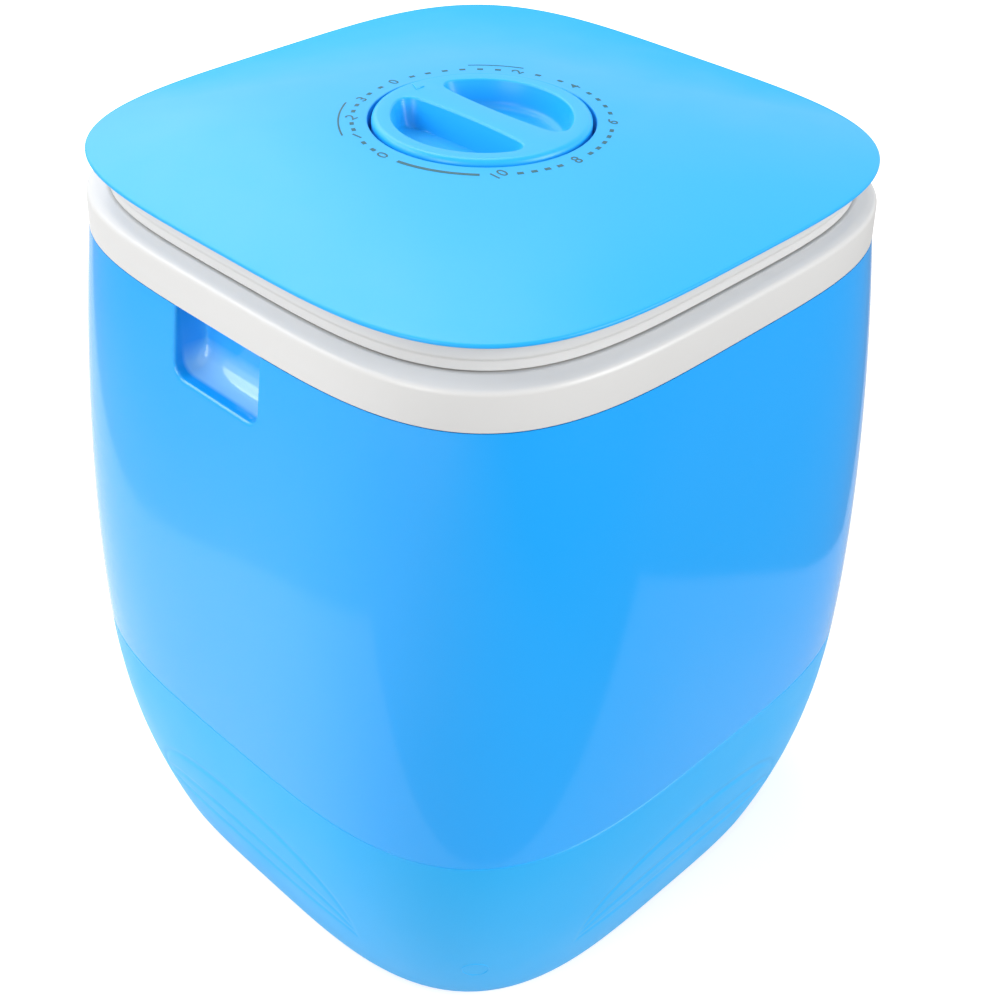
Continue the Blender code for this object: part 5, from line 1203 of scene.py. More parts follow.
def make_collar():
    """The white collar: band, crease, sloped ledge, deck and the rolled edge of the mouth."""
    square = TOP_SQUARENESS
    section = softened(
        (
            (BODY_TOP_HALF, square, SHELL_TOP, SMALL),
            (BODY_TOP_HALF - BAND_DRAFT, square, CREASE_HEIGHT, sizes().crease_round),
            (COLLAR_SHOULDER_HALF, square, COLLAR_SHOULDER_HEIGHT, BROAD),
            (LEDGE_LIP_HALF, square, LEDGE_LIP_HEIGHT, LEDGE_LIP_ROUND),
            (LEDGE_LIP_HALF - BAND_DRAFT, square, LEDGE_LIP_HEIGHT, FINE),
            (LEDGE_INNER_HALF, square, LEDGE_HEIGHT, FULL),
            (MOUTH_RADIUS + DECK_ROLL, 2, MOUTH_HEIGHT, BROAD),
            (MOUTH_RADIUS, 2, MOUTH_HEIGHT, DECK_ROUND),
            (MOUTH_RADIUS, 2, DECK_UNDERSIDE, EDGE_SOFTNESS),
            (COLLAR_WALL_HALF, square, COLLAR_WALL_HEIGHT, EASED),
            (COLLAR_FOOT_HALF, square, COLLAR_FOOT_HEIGHT, EASED),
            (COLLAR_INNER_HALF, square, COLLAR_FOOT_HEIGHT, FINE),
            (COLLAR_INNER_HALF, square, SHELL_TOP, FINE),
        )
    )
    collar = laid_round("collar", rings_of(plan_directions(COLLAR_COLUMNS), section))
    finished(collar, "collar satin", "cabinet", "collar_white", "top_frame")


def hinge_eye(name, x, width, facing, reach):
    """A round eye on the hinge's axis, with a web drawn out of the side that faces that way."""
    deselect()
    bpy.ops.mesh.primitive_cylinder_add(
        vertices=SMALL_TURN_STEPS,
        radius=HINGE_RADIUS,
        depth=width,
        location=(x, HINGE_BACK, HINGE_HEIGHT),
        rotation=(0, math.pi / 2, 0),
    )
    eye = settle(named(name))
    way = Vector(facing)
    edit("DESELECT")
    bpy.ops.mesh.select_mode(type="FACE")
    bpy.ops.object.mode_set(mode="OBJECT")
    for face in eye.data.polygons:
        face.select = abs(face.normal.x) < 0.5 and face.normal.dot(way) > FACING_LEAST
    bpy.ops.object.mode_set(mode="EDIT")
    bpy.ops.mesh.extrude_region_move(TRANSFORM_OT_translate={"value": way * reach})
    bpy.ops.mesh.select_all(action="SELECT")
    bpy.ops.mesh.dissolve_limited(angle_limit=FLAT_ANGLE)
    bpy.ops.object.mode_set(mode="OBJECT")
    apply_modifier(eye, "soft", "BEVEL", width=SMALL, segments=2, limit_method="ANGLE")
    return closed_up(eye)


def make_hinges():
    """The ears that stand on the collar and the knuckles of the lid's skirt between them."""
    offset = KNUCKLE_WIDTH / 2 + HINGE_SIDE_GAP + EAR_WIDTH / 2
    ears = []
    knuckles = []
    for x in (-HINGE_ASIDE, HINGE_ASIDE):
        for way in (-1, 1):
            ears.append(hinge_eye("ear", x + way * offset, EAR_WIDTH, (0, 0, -1), EAR_DROP))
        knuckles.append(hinge_eye("knuckle", x, KNUCKLE_WIDTH, (0, -1, 0), KNUCKLE_REACH))
    finished(merged("hinge_ears", ears), "collar satin", "cabinet", "collar_white", "top_frame")
    knuckles = merged("lid_knuckles", knuckles)
    finished(knuckles, "collar satin", "lid", "collar_white", "lid_frame")


def make_lid():
    """The domed lid: thin rim, a dome that turns from square to round, and the knob's well."""
    square = TOP_SQUARENESS
    edge = sizes().lid_edge
    directions = plan_directions(LID_COLUMNS)
    inside = LID_HALF - LID_RIM_RUN
    rim = softened(
        (
            (LID_HALF - LID_UNDER_RUN, square, LID_UNDER_EDGE, 0),
            (LID_HALF, square, LID_UNDER_EDGE, edge),
            (LID_HALF, square, LID_TOP_EDGE, edge),
            (inside, square, LID_TOP_EDGE + lid_rise(inside), 0),
        ),
        cyclic=False,
    )
    rings = rings_of(directions, rim)
    start, end = LID_HALF - LID_DOME_RUN, WELL_RADIUS + WELL_SHOULDER_RUN
    for step in range(LID_ROWS + 1):
        half = start + (end - start) * step / LID_ROWS
        rings.append(ring(directions, half, lid_squareness(half), LID_TOP_EDGE + lid_rise(half)))
    outer_well = WELL_RADIUS + LID_THICKNESS
    under_well = WELL_FLOOR - LID_THICKNESS
    well = softened(
        (
            (end, 2, LID_TOP_EDGE + lid_rise(end), 0),
            (WELL_RADIUS, 2, WELL_EDGE_HEIGHT + WELL_SHOULDER_RISE, WELL_SHOULDER),
            (WELL_RADIUS - WELL_TAPER, 2, WELL_FLOOR, AMPLE),
            (WELL_HOLE_RADIUS, 2, WELL_FLOOR, FINE),
            (WELL_HOLE_RADIUS, 2, under_well, FINE),
            (outer_well, 2, under_well, AMPLE),
            (outer_well + WELL_SHOULDER, 2, LID_UNDER_EDGE + lid_rise(end) - WELL_SHOULDER, 0),
        ),
        cyclic=False,
    )
    rings += rings_of(directions, well[1:])
    for share in LID_UNDER_SHARES:
        half = LID_HALF * share
        rings.append(ring(directions, half, lid_squareness(half), LID_UNDER_EDGE + lid_rise(half)))
    lid = laid_round("lid_dome", rings)
    finished(lid, "lid gloss", "lid", "lid_blue", "lid_plate")


def make_skirt():
    """The stepped white skirt under the lid's rim."""
    square = TOP_SQUARENESS
    upper = SKIRT_HALF + SKIRT_STEP
    step = SKIRT_BOTTOM + SKIRT_LOWER_HEIGHT
    top = LID_UNDER_EDGE + lid_rise(upper) - CLEARANCE
    flange_top = LID_UNDER_EDGE + lid_rise(FRAME_FLANGE_HALF) - CLEARANCE
    section = softened(
        (
            (SKIRT_HALF, square, SKIRT_BOTTOM, SOFT),
            (SKIRT_HALF, square, step, SKIRT_ROUND),
            (upper, square, step + SKIRT_STEP, SKIRT_ROUND),
            (upper, square, top, FINE),
            (FRAME_FLANGE_HALF, square, flange_top - CLEARANCE, FINE),
            (FRAME_FLANGE_HALF, square, flange_top - SKIRT_WALL, FINE),
            (upper - SKIRT_WALL, square, top - SKIRT_WALL, AMPLE),
            (SKIRT_HALF - SKIRT_WALL, square, SKIRT_BOTTOM, SOFT),
        ),
        steps=SECTION_STEPS,
    )
    skirt = laid_round("lid_skirt", rings_of(plan_directions(COLLAR_COLUMNS), section))
    finished(skirt, "collar satin", "lid", "collar_white", "lid_frame")


def make_liner():
    """The lid's inner panel, with the round bowl that clears the timer."""
    square = TOP_SQUARENESS
    top = LINER_BOTTOM + LINER_THICKNESS
    bowl = LINER_BOTTOM - LINER_BOWL_DEPTH
    narrow = LINER_BOWL_RADIUS - LINER_BOWL_TAPER
    inner = LINER_BOWL_RADIUS - LINER_THICKNESS
    section = softened(
        (
            (0, 2, bowl + LINER_THICKNESS, 0),
            (narrow - LINER_THICKNESS, 2, bowl + LINER_THICKNESS, LINER_BOWL_ROUNDS[0]),
            (inner, 2, top, BROAD),
            (*LINER_MIDDLE, top, 0),
            (LINER_EDGE_HALF, square, top, EASED),
            (LINER_EDGE_HALF, square, LINER_BOTTOM, EASED),
            (*LINER_MIDDLE, LINER_BOTTOM, 0),
            (LINER_BOWL_RADIUS, 2, LINER_BOTTOM, LINER_SHOULDER_ROUND),
            (narrow, 2, bowl, LINER_BOWL_ROUNDS[1]),
            (0, 2, bowl, 0),
        ),
        cyclic=False,
    )
    rings = rings_of(plan_directions(COLLAR_COLUMNS), section)
    liner = laid_round("lid_liner_panel", rings, closed=False)
    finished(liner, "collar satin", "lid", "collar_white", "lid_liner")


def bar_edge(y):
    return BAR_HALF + BAR_FLARE * (y / SCOOP_RADIUS) ** 2


def scoop_inside(x, y):
    """How far inside the scoop's outline a place of its plan lies."""
    return smooth_least(x - bar_edge(y), SCOOP_RADIUS - np.hypot(x, y), SCOOP_TIP_BLEND)


def coved(share):
    """How far down a coved wall is, from 0 at its edge to 1 where its floor begins."""
    left = 1 - np.clip(share, 0, 1)
    return (1 - left**SCOOP_COVE_POWER) ** (1 / SCOOP_COVE_POWER)


def scoop_depth(x, y):
    """The scoop has a steep wall that runs into its floor in a cove, a wide one by the rim."""
    inside = np.maximum(scoop_inside(x, y), 0)
    by_bar = coved((x - bar_edge(y)) / SCOOP_BAR_COVE)
    by_rim = coved((SCOOP_RADIUS - np.hypot(x, y)) / SCOOP_RIM_COVE)
    depth = smooth_least(SCOOP_DEPTH * by_bar, SCOOP_DEPTH * by_rim, SCOOP_FLOOR_BLEND)
    return np.minimum(np.maximum(depth, 0), SCOOP_LIP_SLOPE * inside)


def scoop_outline():
    """Places of the scoop's outline, found along rays from its middle."""
    turns = np.arange(SCOOP_STEPS) * math.tau / SCOOP_STEPS
    rays = np.column_stack((np.cos(turns), np.sin(turns)))
    near, far = np.zeros(SCOOP_STEPS), np.full(SCOOP_STEPS, 2 * SCOOP_RADIUS)
    for _ in range(SMALL_TURN_STEPS):
        middle = (near + far) / 2
        places = rays * middle[:, None]
        inside = scoop_inside(places[:, 0] + SCOOP_CENTRE, places[:, 1]) > 0
        near, far = np.where(inside, middle, near), np.where(inside, far, middle)
    return rays * near[:, None] + (SCOOP_CENTRE, 0)


def scoop_skin(side):
    """One finger scoop: its rounded lip, steep bar side and bowl, as a polar grid."""
    lip = sizes().scoop_lip
    outline = scoop_outline()
    along = np.roll(outline, -1, axis=0) - np.roll(outline, 1, axis=0)
    out = np.column_stack((along[:, 1], -along[:, 0])) / np.hypot(*along.T)[:, None]
    rings = []
    for turn in quarter_turn(LIP_STEPS, LIP_STEPS):
        grown = outline + out * lip * (1 - math.sin(turn))
        height = KNOB_TOP - lip * (1 - math.cos(turn))
        rings.append(np.column_stack((grown, np.full(SCOOP_STEPS, height))))
    centre = np.array((SCOOP_CENTRE, 0))
    for row in range(SCOOP_ROWS + 1):
        share = (row / SCOOP_ROWS) ** SCOOP_ROW_POWER
        flat = outline * (1 - share) + centre * share
        height = KNOB_TOP - lip - scoop_depth(flat[:, 0], flat[:, 1])
        rings.append(np.column_stack((flat, height)))
    places = np.array([np.vstack((points, points[:1])) for points in rings])
    places[:, :, 0] *= side
    return grid_of("scoop", places)


def make_knob():
    """The dial's knob: a turned disc whose flat top is filled round two finger scoops."""
    profile = round_section(
        (
            (KNOB_FLAT_START, KNOB_TOP, 0),
            (KNOB_RADIUS, KNOB_TOP, KNOB_EDGE_ROUND),
            (KNOB_RADIUS, KNOB_BOTTOM, EASED),
            (0, KNOB_BOTTOM, 0),
        ),
        steps=KNOB_STEPS,
        cyclic=False,
    )
    rim = spun("timer_dial_knob", profile[1:], closed=False)
    knob = closed_up(merged("timer_dial_knob", [rim, scoop_skin(-1), scoop_skin(1)]))
    edit("DESELECT")
    bpy.ops.mesh.select_mode(type="EDGE")
    bpy.ops.mesh.select_non_manifold(extend=False, use_boundary=True, use_wire=False)
    bpy.ops.mesh.fill(use_beauty=True)
    bpy.ops.object.mode_set(mode="OBJECT")
    closed_up(knob)
    finished(knob, "knob gloss", "knob", "lid_blue", "timer_knob")
    make_pointer()


def make_pointer():
    """The small raised pointer at the knob's rear."""
    deselect()
    bpy.ops.mesh.primitive_cylinder_add(vertices=3, radius=1, depth=POINTER_HEIGHT * 2)
    pointer = named("knob_pointer")
    spread = math.sqrt(3) / 2
    pointer.scale = (POINTER_WIDTH / (2 * spread), POINTER_REACH, 1)
    pointer.location = (0, POINTER_TIP - POINTER_REACH, KNOB_TOP)
    settle(pointer)
    apply_modifier(pointer, "soft", "BEVEL", width=FINE, segments=2, limit_method="ANGLE")
    closed_up(pointer)
    finished(pointer, "knob gloss", "knob", "lid_blue", "timer_knob")


def on_lid(piece, lift):
    """Lays a flat piece over the dome at its place in plan."""
    count = len(piece.data.vertices)
    places = np.empty(count * 3)
    piece.data.vertices.foreach_get("co", places)
    places = places.reshape(-1, 3)
    places[:, 2] = lid_height(places[:, 0], places[:, 1]) + lift
    piece.data.vertices.foreach_set("co", places.reshape(-1))
    piece.data.update()


def dial_place(angle, radius):
    turn = math.radians(angle)
    return radius * math.sin(turn), radius * math.cos(turn)


def printed_digit(text, angle):
    deselect()
    bpy.ops.object.text_add()
    digit = named(f"digit_{text}")
    digit.data.body = text
    digit.data.size = DIGIT_HEIGHT / DIGIT_SHARE
    digit.data.align_x = "CENTER"
    digit.data.align_y = "CENTER"
    digit.data.space_character = DIGIT_SPACING
    digit.data.offset = DIGIT_STROKE
    bpy.ops.object.convert(target="MESH")
    digit = bpy.context.object
    digit.location = (*dial_place(angle, DIAL_RADIUS), 0)
    return settle(digit)


def printed_arc(start, end, radius, width):
    """A band along the dial's circle between two angles."""
    count = max(int(abs(end - start) / ARC_STEP), 2)
    inner, outer = radius - width / 2, radius + width / 2
    steps = [start + (end - start) * step / count for step in range(count + 1)]
    rows = [[(*dial_place(angle, reach), 0) for angle in steps] for reach in (inner, outer)]
    return grid_of("print_arc", np.array(rows))


def make_dial():
    """The dial's print on the lid: plain numbers, dashes between them and three arcs."""
    pieces = [printed_digit(text, angle) for text, angle in DIAL_DIGITS]
    half_dash = math.degrees(DASH_LENGTH / DIAL_RADIUS) / 2
    for start, end, count in DIAL_DASHES:
        for index in range(count):
            middle = start + (end - start) * index / max(count - 1, 1)
            dash = (middle - half_dash, middle + half_dash)
            pieces.append(printed_arc(*dash, DIAL_RADIUS, DASH_WIDTH))
    pieces.append(printed_arc(*DIAL_ARC, DIAL_RADIUS, ARC_WIDTH))
    pieces += [printed_arc(start, end, FINE_ARC_RADIUS, FINE_ARC_WIDTH) for start, end in FINE_ARCS]
    dial = merged("dial_print", pieces)
    on_lid(dial, sizes().dial_lift)
    apply_modifier(dial, "ink", "SOLIDIFY", thickness=PRINT_THICKNESS, offset=-1)
    closed_up(dial)
    finished(dial, "dial print", "lid", "lid_blue")


def make_basket():
    """The spin basket: a turned bowl with a hub cone, a rolled rim and slots round its wall."""
    floor = BASKET_BOTTOM + BASKET_WALL
    rim_low = BASKET_TOP - BASKET_RIM_HEIGHT
    rim = BASKET_TOP_RADIUS + BASKET_RIM
    profile = round_section(
        (
            (0, BASKET_CONE_TOP, 0),
            (BASKET_CONE_RADIUS, BASKET_CONE_TOP - BASKET_WALL, BASKET_CONE_ROUND),
            (BASKET_HUB, floor, BASKET_HUB_ROUND),
            (BASKET_BOTTOM_RADIUS - BASKET_WALL, floor, BASKET_FILLET),
            (BASKET_TOP_RADIUS - BASKET_WALL, BASKET_TOP, BASKET_LIP_ROUNDS[0]),
            (rim, BASKET_TOP, BASKET_LIP_ROUNDS[1]),
            (rim, rim_low, SOFT),
            (BASKET_TOP_RADIUS, rim_low, SOFT),
            (BASKET_BOTTOM_RADIUS, BASKET_BOTTOM, BASKET_FILLET + BASKET_WALL),
            (BASKET_HUB, BASKET_BOTTOM, EASED),
            (BASKET_HUB, BASKET_SKIRT_BOTTOM, EASED),
            (BASKET_SOCKET, BASKET_SKIRT_BOTTOM, SMALL),
            (BASKET_SOCKET, BASKET_SOCKET_TOP, SMALL),
            (0, BASKET_SOCKET_TOP, 0),
        ),
        steps=DRUM_STEPS,
        cyclic=False,
    )
    basket = spun("drum_basket", profile, closed=False)
    deselect()
    bpy.ops.mesh.primitive_cylinder_add(
        vertices=SLOT_CORNERS, radius=SLOT_WIDTH / 2, depth=SLOT_CUT, rotation=(0, math.pi / 2, 0)
    )
    slot = settle(named("slot"))
    stretch = (SLOT_HEIGHT - SLOT_WIDTH) / 2
    for vertex in slot.data.vertices:
        if abs(vertex.co.z) > MERGE_DISTANCE:
            vertex.co.z += math.copysign(stretch, vertex.co.z)
    slots = []
    for column in range(SLOT_COLUMNS):
        turn = Matrix.Rotation(math.tau * (column + SLOT_TURN_SHARE) / SLOT_COLUMNS, 4, "Z")
        for row in range(SLOT_ROWS):
            height = BASKET_BOTTOM + SLOTS_START + SLOT_PITCH * row
            reach = BASKET_BOTTOM_RADIUS + (BASKET_TOP_RADIUS - BASKET_BOTTOM_RADIUS) / 2
            copy = linked("slot", slot.data.copy())
            copy.data.transform(turn @ Matrix.Translation((reach, 0, height)))
            slots.append(copy)
    bpy.data.objects.remove(slot)
    slots = merged("slots", slots)
    apply_modifier(basket, "slots", "BOOLEAN", operation="DIFFERENCE", solver="EXACT", object=slots)
    bpy.data.objects.remove(slots)
    finished(basket, "drum plastic", "drive", "tub_white", "spin_basket")


def make_tub():
    """The round tub that hangs from the deck."""
    profile = round_section(
        (
            (TUB_TOP_RADIUS + TUB_FLANGE, TUB_TOP, FINE),
            (TUB_TOP_RADIUS + TUB_FLANGE, TUB_TOP - TUB_WALL, FINE),
            (TUB_TOP_RADIUS, TUB_TOP - TUB_WALL, FULL),
            (TUB_BOTTOM_RADIUS, TUB_BOTTOM, TUB_FILLET),
            (TUB_HOLE_RADIUS, TUB_BOTTOM, SMALL),
            (TUB_HOLE_RADIUS, TUB_BOTTOM + TUB_WALL, SMALL),
            (TUB_BOTTOM_RADIUS - TUB_WALL, TUB_BOTTOM + TUB_WALL, TUB_FILLET - TUB_WALL),
            (TUB_TOP_RADIUS - TUB_WALL, TUB_TOP, FULL),
        ),
        steps=DRUM_STEPS,
    )
    tub = spun("round_tub", profile)
    finished(tub, "drum plastic", "cabinet", "tub_white", "wash_tub")


def laid_back(piece, x, height):
    """Turns a piece spun round Z so that it points to +Y, at its place on the back."""
    piece.data.transform(Matrix.Translation((x, 0, height)) @ Matrix.Rotation(-math.pi / 2, 4, "X"))
    return closed_up(piece)


def make_back_fittings():
    """The barbed drain spigot and the ribbed rubber gland."""
    barb = OUTLET_RADIUS - OUTLET_BARB
    wide = OUTLET_RADIUS + OUTLET_FLANGE
    behind = OUTLET_SEAT - OUTLET_FLANGE_THICKNESS
    profile = round_section(
        (
            (barb, OUTLET_TIP, EDGE_SOFTNESS),
            (OUTLET_RADIUS, OUTLET_TIP - OUTLET_FLANGE, FINE),
            (barb, OUTLET_TIP - OUTLET_FLANGE, FINE),
            (barb, OUTLET_TIP - 2 * OUTLET_FLANGE, CRISP),
            (OUTLET_RADIUS, OUTLET_TIP - 3 * OUTLET_FLANGE, FINE),
            (barb, OUTLET_TIP - 3 * OUTLET_FLANGE, FINE),
            (barb, OUTLET_SEAT, SOFT),
            (wide, OUTLET_SEAT, EDGE_SOFTNESS),
            (wide, behind, EDGE_SOFTNESS),
            (OUTLET_RADIUS, behind, SMALL),
            (OUTLET_RADIUS, OUTLET_START, SMALL),
            (OUTLET_BORE, OUTLET_START, SMALL),
            (OUTLET_BORE, OUTLET_TIP, SMALL),
        ),
        steps=SECTION_STEPS,
    )
    outlet = laid_back(spun("drain_spigot", profile, SMALL_TURN_STEPS), OUTLET_X, OUTLET_HEIGHT)
    finished(outlet, "grey moulding", "cabinet", "grey_plastic", "drain_outlet")
    seat = GLAND_START + GLAND_FLANGE
    corners = [
        (GLAND_BORE, GLAND_START, FINE),
        (GLAND_BORE, GLAND_TIP, FINE),
        (GLAND_RADIUS - GLAND_FLANGE, GLAND_TIP, EASED),
    ]
    pitch = (GLAND_TIP - seat - GLAND_FLANGE) / (2 * GLAND_RINGS)
    for index in range(GLAND_RINGS):
        height = GLAND_TIP - pitch * (2 * index + 1)
        radius = GLAND_RADIUS - GLAND_FLANGE * (1 - index / GLAND_RINGS)
        corners.append((radius + GLAND_RIB, height, SMALL))
        corners.append((radius, height - pitch, SMALL))
    wide = GLAND_RADIUS + GLAND_FLANGE
    corners += [(GLAND_RADIUS, seat, SMALL), (wide, seat, SMALL), (wide, GLAND_START, SMALL)]
    gland = spun("rubber_gland", round_section(corners[::-1], SECTION_STEPS), SMALL_TURN_STEPS)
    laid_back(gland, GLAND_X, GLAND_HEIGHT)
    finished(gland, "black rubber", "cabinet", "foot_rubber", "cord_gland")


def make_feet():
    """Four rubber feet, modelled once and copied to their corners."""
    top = FOOT_HEIGHT - CLEARANCE
    profile = round_section(
        (
            (FOOT_TOP_RADIUS, top, FINE),
            (FOOT_RADIUS, 0, FOOT_EDGE_ROUND),
            (FOOT_SINK_RADIUS, 0, EDGE_SOFTNESS),
            (FOOT_SINK_RADIUS, FOOT_SINK_DEPTH, CRISP),
            (FOOT_HOLE_RADIUS, FOOT_SINK_DEPTH, CRISP),
            (FOOT_HOLE_RADIUS, top, CRISP),
        ),
        steps=SECTION_STEPS,
    )
    first = spun("rubber_foot", profile, SMALL_TURN_STEPS)
    for label, x, y in FOOT_CORNERS:
        foot = linked(f"rubber_foot_{label}", first.data.copy())
        foot.data.name = foot.name
        foot.data.transform(Matrix.Translation((x * FOOT_PLACE, y * FOOT_PLACE, 0)))
        finished(foot, "black rubber", "cabinet", "foot_rubber", f"foot_{label}")
    bpy.data.objects.remove(first)


NODE_LOOKS = (
    ("black rubber", ("drive_belt", "shaft_seal")),
    ("bright steel", ("screw", "shaft", "bearing_lower", "bearing_upper", "hinge_pin")),
    ("bright steel", ("pulley_nut", "motor_bracket")),
    ("motor paint", ("motor_body",)),
    ("core steel", ("rotor_core",)),
    ("capacitor case", ("motor_capacitor",)),
    ("drum plastic", ("pulsator",)),
    ("grey moulding", ("base_plate", "pulley", "timer_body", "drain_pipe", "bearing_housing")),
)


def finish_works():
    """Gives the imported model's remaining pieces their finishes."""
    for name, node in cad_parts.items():
        wanted = "grey moulding"
        for finish, words in NODE_LOOKS:
            if any(word in name for word in words):
                wanted = finish
                break
        node.data.materials.clear()
        node.data.materials.append(look(wanted))


def area_lamp(name, place, target, size, power):
    """A soft lamp of that size, turned to look at the target."""
    lamp = bpy.data.lights.new(name, "AREA")
    lamp.shape = "RECTANGLE"
    lamp.size, lamp.size_y = size
    lamp.energy = power
    made = linked(name, lamp)
    made.location = place
    made.rotation_euler = (Vector(target) - Vector(place)).to_track_quat("-Z", "Y").to_euler()


def seen_ray(tree):
    """1 for the rays that show the surround: those of the camera, of gloss and of glass."""
    path = add_node(tree, "ShaderNodeLightPath").outputs
    rays = (path[f"Is {kind} Ray"] for kind in ("Camera", "Glossy", "Transmission"))
    return arithmetic(tree, "MAXIMUM", *rays)


def paved(name, tint, shade, white, corners, height):
    """A flat stage piece with those corners; in view it is lifted so that it stays pale."""
    deselect()
    bpy.ops.mesh.primitive_circle_add(vertices=len(corners), radius=1, fill_type="NGON")
    piece = named(name)
    for vertex, (x, y) in zip(piece.data.vertices, corners):
        vertex.co = (x, y, height)
    closed_up(piece)
    made, tree, shader, place = new_material(name)
    x, y, _ = parts_of(tree, place)
    # The colour is darker away from the far left: painted shade that the washer shows in its
    # reflections and in the light bounced onto it
    aside = arithmetic(tree, "SUBTRACT", y, x)
    left = ranged(tree, aside, -STAGE_FADE, STAGE_FADE, 0, 1)
    far_left = times(tree, left, ranged(tree, y, *FAR_RANGE, 1, FAR_SHARE))
    shaded = tuple(shade * part for part in tint)
    feed(tree, shader["Base Color"], mixed(tree, far_left, (*shaded, 1.0), (*tint, 1.0)))
    shader["Roughness"].default_value = STAGE_ROUGHNESS
    shader["Emission Color"].default_value = WHITE
    # lift makes the stage glow for camera, gloss and glass rays, more at the far left: painted
    # light in the washer's reflections
    lift = ranged(tree, far_left, 0, 1, STAGE_LIFT / 2, STAGE_LIFT)
    away = plus(tree, times(tree, x, x), times(tree, y, y))
    cover = ranged(tree, away, SHADE_REACH**2, (3 * SHADE_REACH) ** 2, white, OPEN_WHITE)
    seen = add_node(tree, "ShaderNodeLightPath").outputs["Is Camera Ray"]
    strength = plus(tree, times(tree, seen_ray(tree), lift), times(tree, seen, cover))
    feed(tree, shader["Emission Strength"], strength)
    piece.data.materials.append(made)


def make_stage():
    """A white sheet on a pale floor, a pale surround, soft lamps and the camera."""
    paved("white_sheet", colours().sheet, SHEET_SHADE, SHEET_WHITE, SHEET_CORNERS, 0)
    paved("floor", colours().floor, FLOOR_SHADE, FLOOR_WHITE, FLOOR_CORNERS, -SHEET_THICKNESS)
    world = bpy.data.worlds.new("surround")
    bpy.context.scene.world = world
    world.use_nodes = True
    tree = world.node_tree
    ground = tree.nodes["Background"].inputs
    feed(tree, ground["Strength"], ranged(tree, seen_ray(tree), 0, 1, SURROUND_LEVEL, 1))
    ground["Color"].default_value = WHITE
    for lamp in LAMPS:
        area_lamp(*lamp)
    make_camera()
    bpy.context.scene.view_settings.view_transform = "Standard"


def make_camera():
    azimuth, elevation = CAMERA_AZIMUTH, CAMERA_ELEVATION
    level = math.cos(elevation)
    back = (math.sin(azimuth) * level, -math.cos(azimuth) * level, math.sin(elevation))
    back = Vector(back)
    right = Vector((math.cos(azimuth), math.sin(azimuth), 0))
    up = back.cross(right)
    turned_right = right * math.cos(CAMERA_ROLL) + up * math.sin(CAMERA_ROLL)
    turned_up = up * math.cos(CAMERA_ROLL) - right * math.sin(CAMERA_ROLL)
    place = back * CAMERA_DISTANCE - turned_right * CAMERA_ASIDE - turned_up * CAMERA_RAISE
    place = CAMERA_UNIT * place + Vector((0, 0, CAMERA_CENTRE_HEIGHT))
    data = bpy.data.cameras.new("camera")
    data.sensor_width = CAMERA_SENSOR
    data.lens = CAMERA_LENS
    data.shift_x = CAMERA_SHIFT_X
    data.shift_y = CAMERA_SHIFT_Y
    camera = linked("camera", data)
    turn = Matrix((turned_right, turned_up, back)).transposed().to_4x4()
    camera.matrix_world = Matrix.Translation(place) @ turn
    bpy.context.scene.camera = camera


def built(*makers):
    """Runs the makers in order, and says that the step is finished."""
    for make in makers:
        make()
    return {"FINISHED"}


class WASHER_OT_body(Operator):
    """Build the upper shell with its recesses, the grooved base and the white collar"""

    bl_idname = "washer.body"
    bl_label = "Body"
    bl_options = {"REGISTER", "UNDO"}

    def execute(self, context):
        return built(make_shell, make_base, make_mould_mark, make_collar)


class WASHER_OT_lid(Operator):
    """Build the domed lid, its stepped skirt and its inner panel"""

    bl_idname = "washer.lid"
    bl_label = "Lid"
    bl_options = {"REGISTER", "UNDO"}

    def execute(self, context):
        return built(make_lid, make_skirt, make_liner)


class WASHER_OT_hinges(Operator):
    """Build the hinge's ears and knuckles"""

    bl_idname = "washer.hinges"
    bl_label = "Hinges"
    bl_options = {"REGISTER", "UNDO"}

    def execute(self, context):
        return built(make_hinges)


class WASHER_OT_dial(Operator):
    """Build the knob with its two scoops and the numbers printed round it"""

    bl_idname = "washer.dial"
    bl_label = "Dial"
    bl_options = {"REGISTER", "UNDO"}

    def execute(self, context):
        return built(make_knob, make_dial)


class WASHER_OT_drum(Operator):
    """Build the slotted spin basket and the round tub"""

    bl_idname = "washer.drum"
    bl_label = "Drum"
    bl_options = {"REGISTER", "UNDO"}

    def execute(self, context):
        return built(make_basket, make_tub)


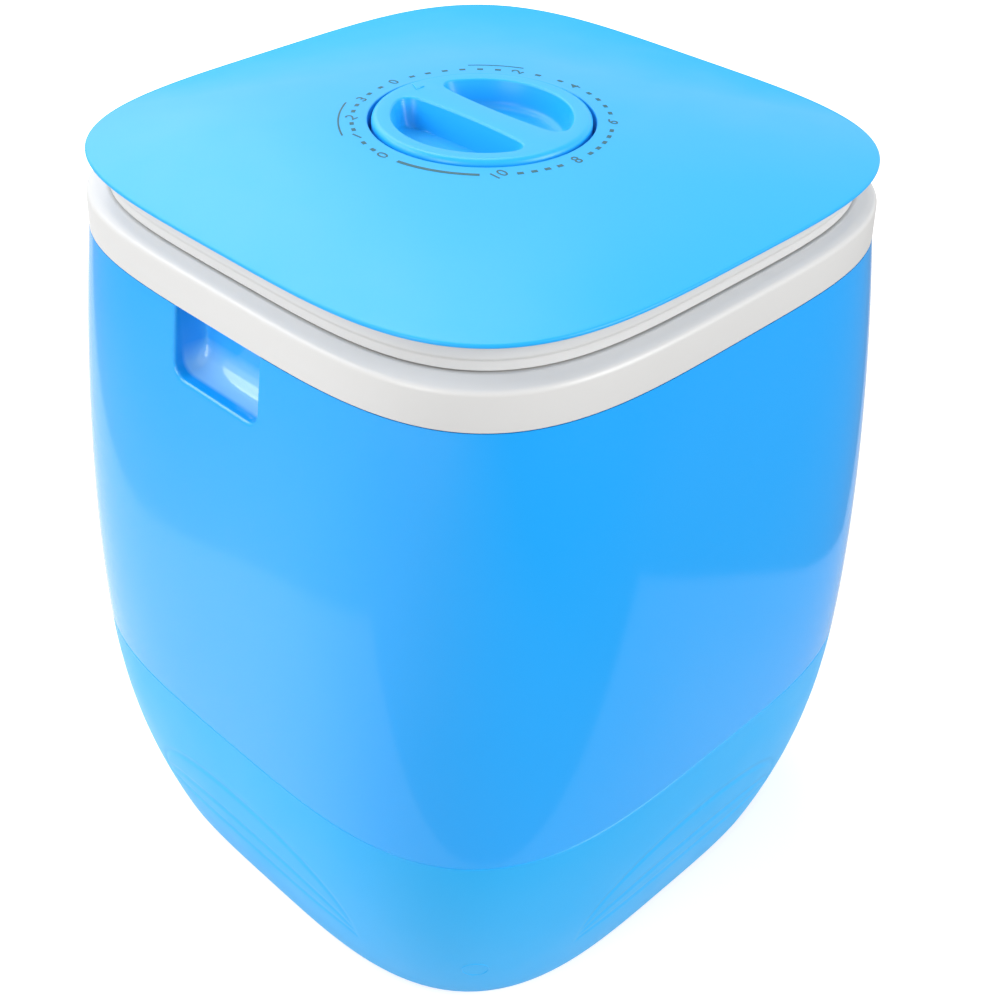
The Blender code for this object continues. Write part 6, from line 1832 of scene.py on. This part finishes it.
class WASHER_OT_fittings(Operator):
    """Build the drain spigot, the rubber gland and the feet"""

    bl_idname = "washer.fittings"
    bl_label = "Back fittings and feet"
    bl_options = {"REGISTER", "UNDO"}

    def execute(self, context):
        return built(make_back_fittings, make_feet)


class WASHER_OT_works(Operator):
    """Finish the motor, the belt drive, the screws and the other inner pieces"""

    bl_idname = "washer.works"
    bl_label = "Inner works"
    bl_options = {"REGISTER", "UNDO"}

    def execute(self, context):
        return built(finish_works)


class WASHER_OT_stage(Operator):
    """Set the floor, the lamps and the camera"""

    bl_idname = "washer.stage"
    bl_label = "Stage"
    bl_options = {"REGISTER", "UNDO"}

    def execute(self, context):
        return built(make_stage)


STEPS = (
    WASHER_OT_body,
    WASHER_OT_lid,
    WASHER_OT_hinges,
    WASHER_OT_dial,
    WASHER_OT_drum,
    WASHER_OT_fittings,
    WASHER_OT_works,
    WASHER_OT_stage,
)


class WASHER_PT_panel(Panel):
    """The washer's steps, sizes and colours"""

    bl_label = "Mini washing machine"
    bl_idname = "WASHER_PT_panel"
    bl_space_type = "VIEW_3D"
    bl_region_type = "UI"
    bl_category = "Washer"

    def draw(self, context):
        for step in STEPS:
            self.layout.operator(step.bl_idname)
        for group in (context.scene.washer_sizes, context.scene.washer_colours):
            for name in group.bl_rna.properties.keys():
                if name not in ("rna_type", "name"):
                    self.layout.prop(group, name)


CLASSES = (WasherSizes, WasherColours, *STEPS, WASHER_PT_panel)


def register():
    for item in CLASSES:
        bpy.utils.register_class(item)
    bpy.types.Scene.washer_sizes = PointerProperty(type=WasherSizes)
    bpy.types.Scene.washer_colours = PointerProperty(type=WasherColours)


def unregister():
    del bpy.types.Scene.washer_colours
    del bpy.types.Scene.washer_sizes
    for item in reversed(CLASSES):
        bpy.utils.unregister_class(item)


def main():
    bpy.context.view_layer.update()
    register()
    bpy.ops.washer.body()
    bpy.ops.washer.lid()
    bpy.ops.washer.hinges()
    bpy.ops.washer.dial()
    bpy.ops.washer.drum()
    bpy.ops.washer.fittings()
    bpy.ops.washer.works()
    bpy.ops.washer.stage()


if __name__ == "__main__":
    main()
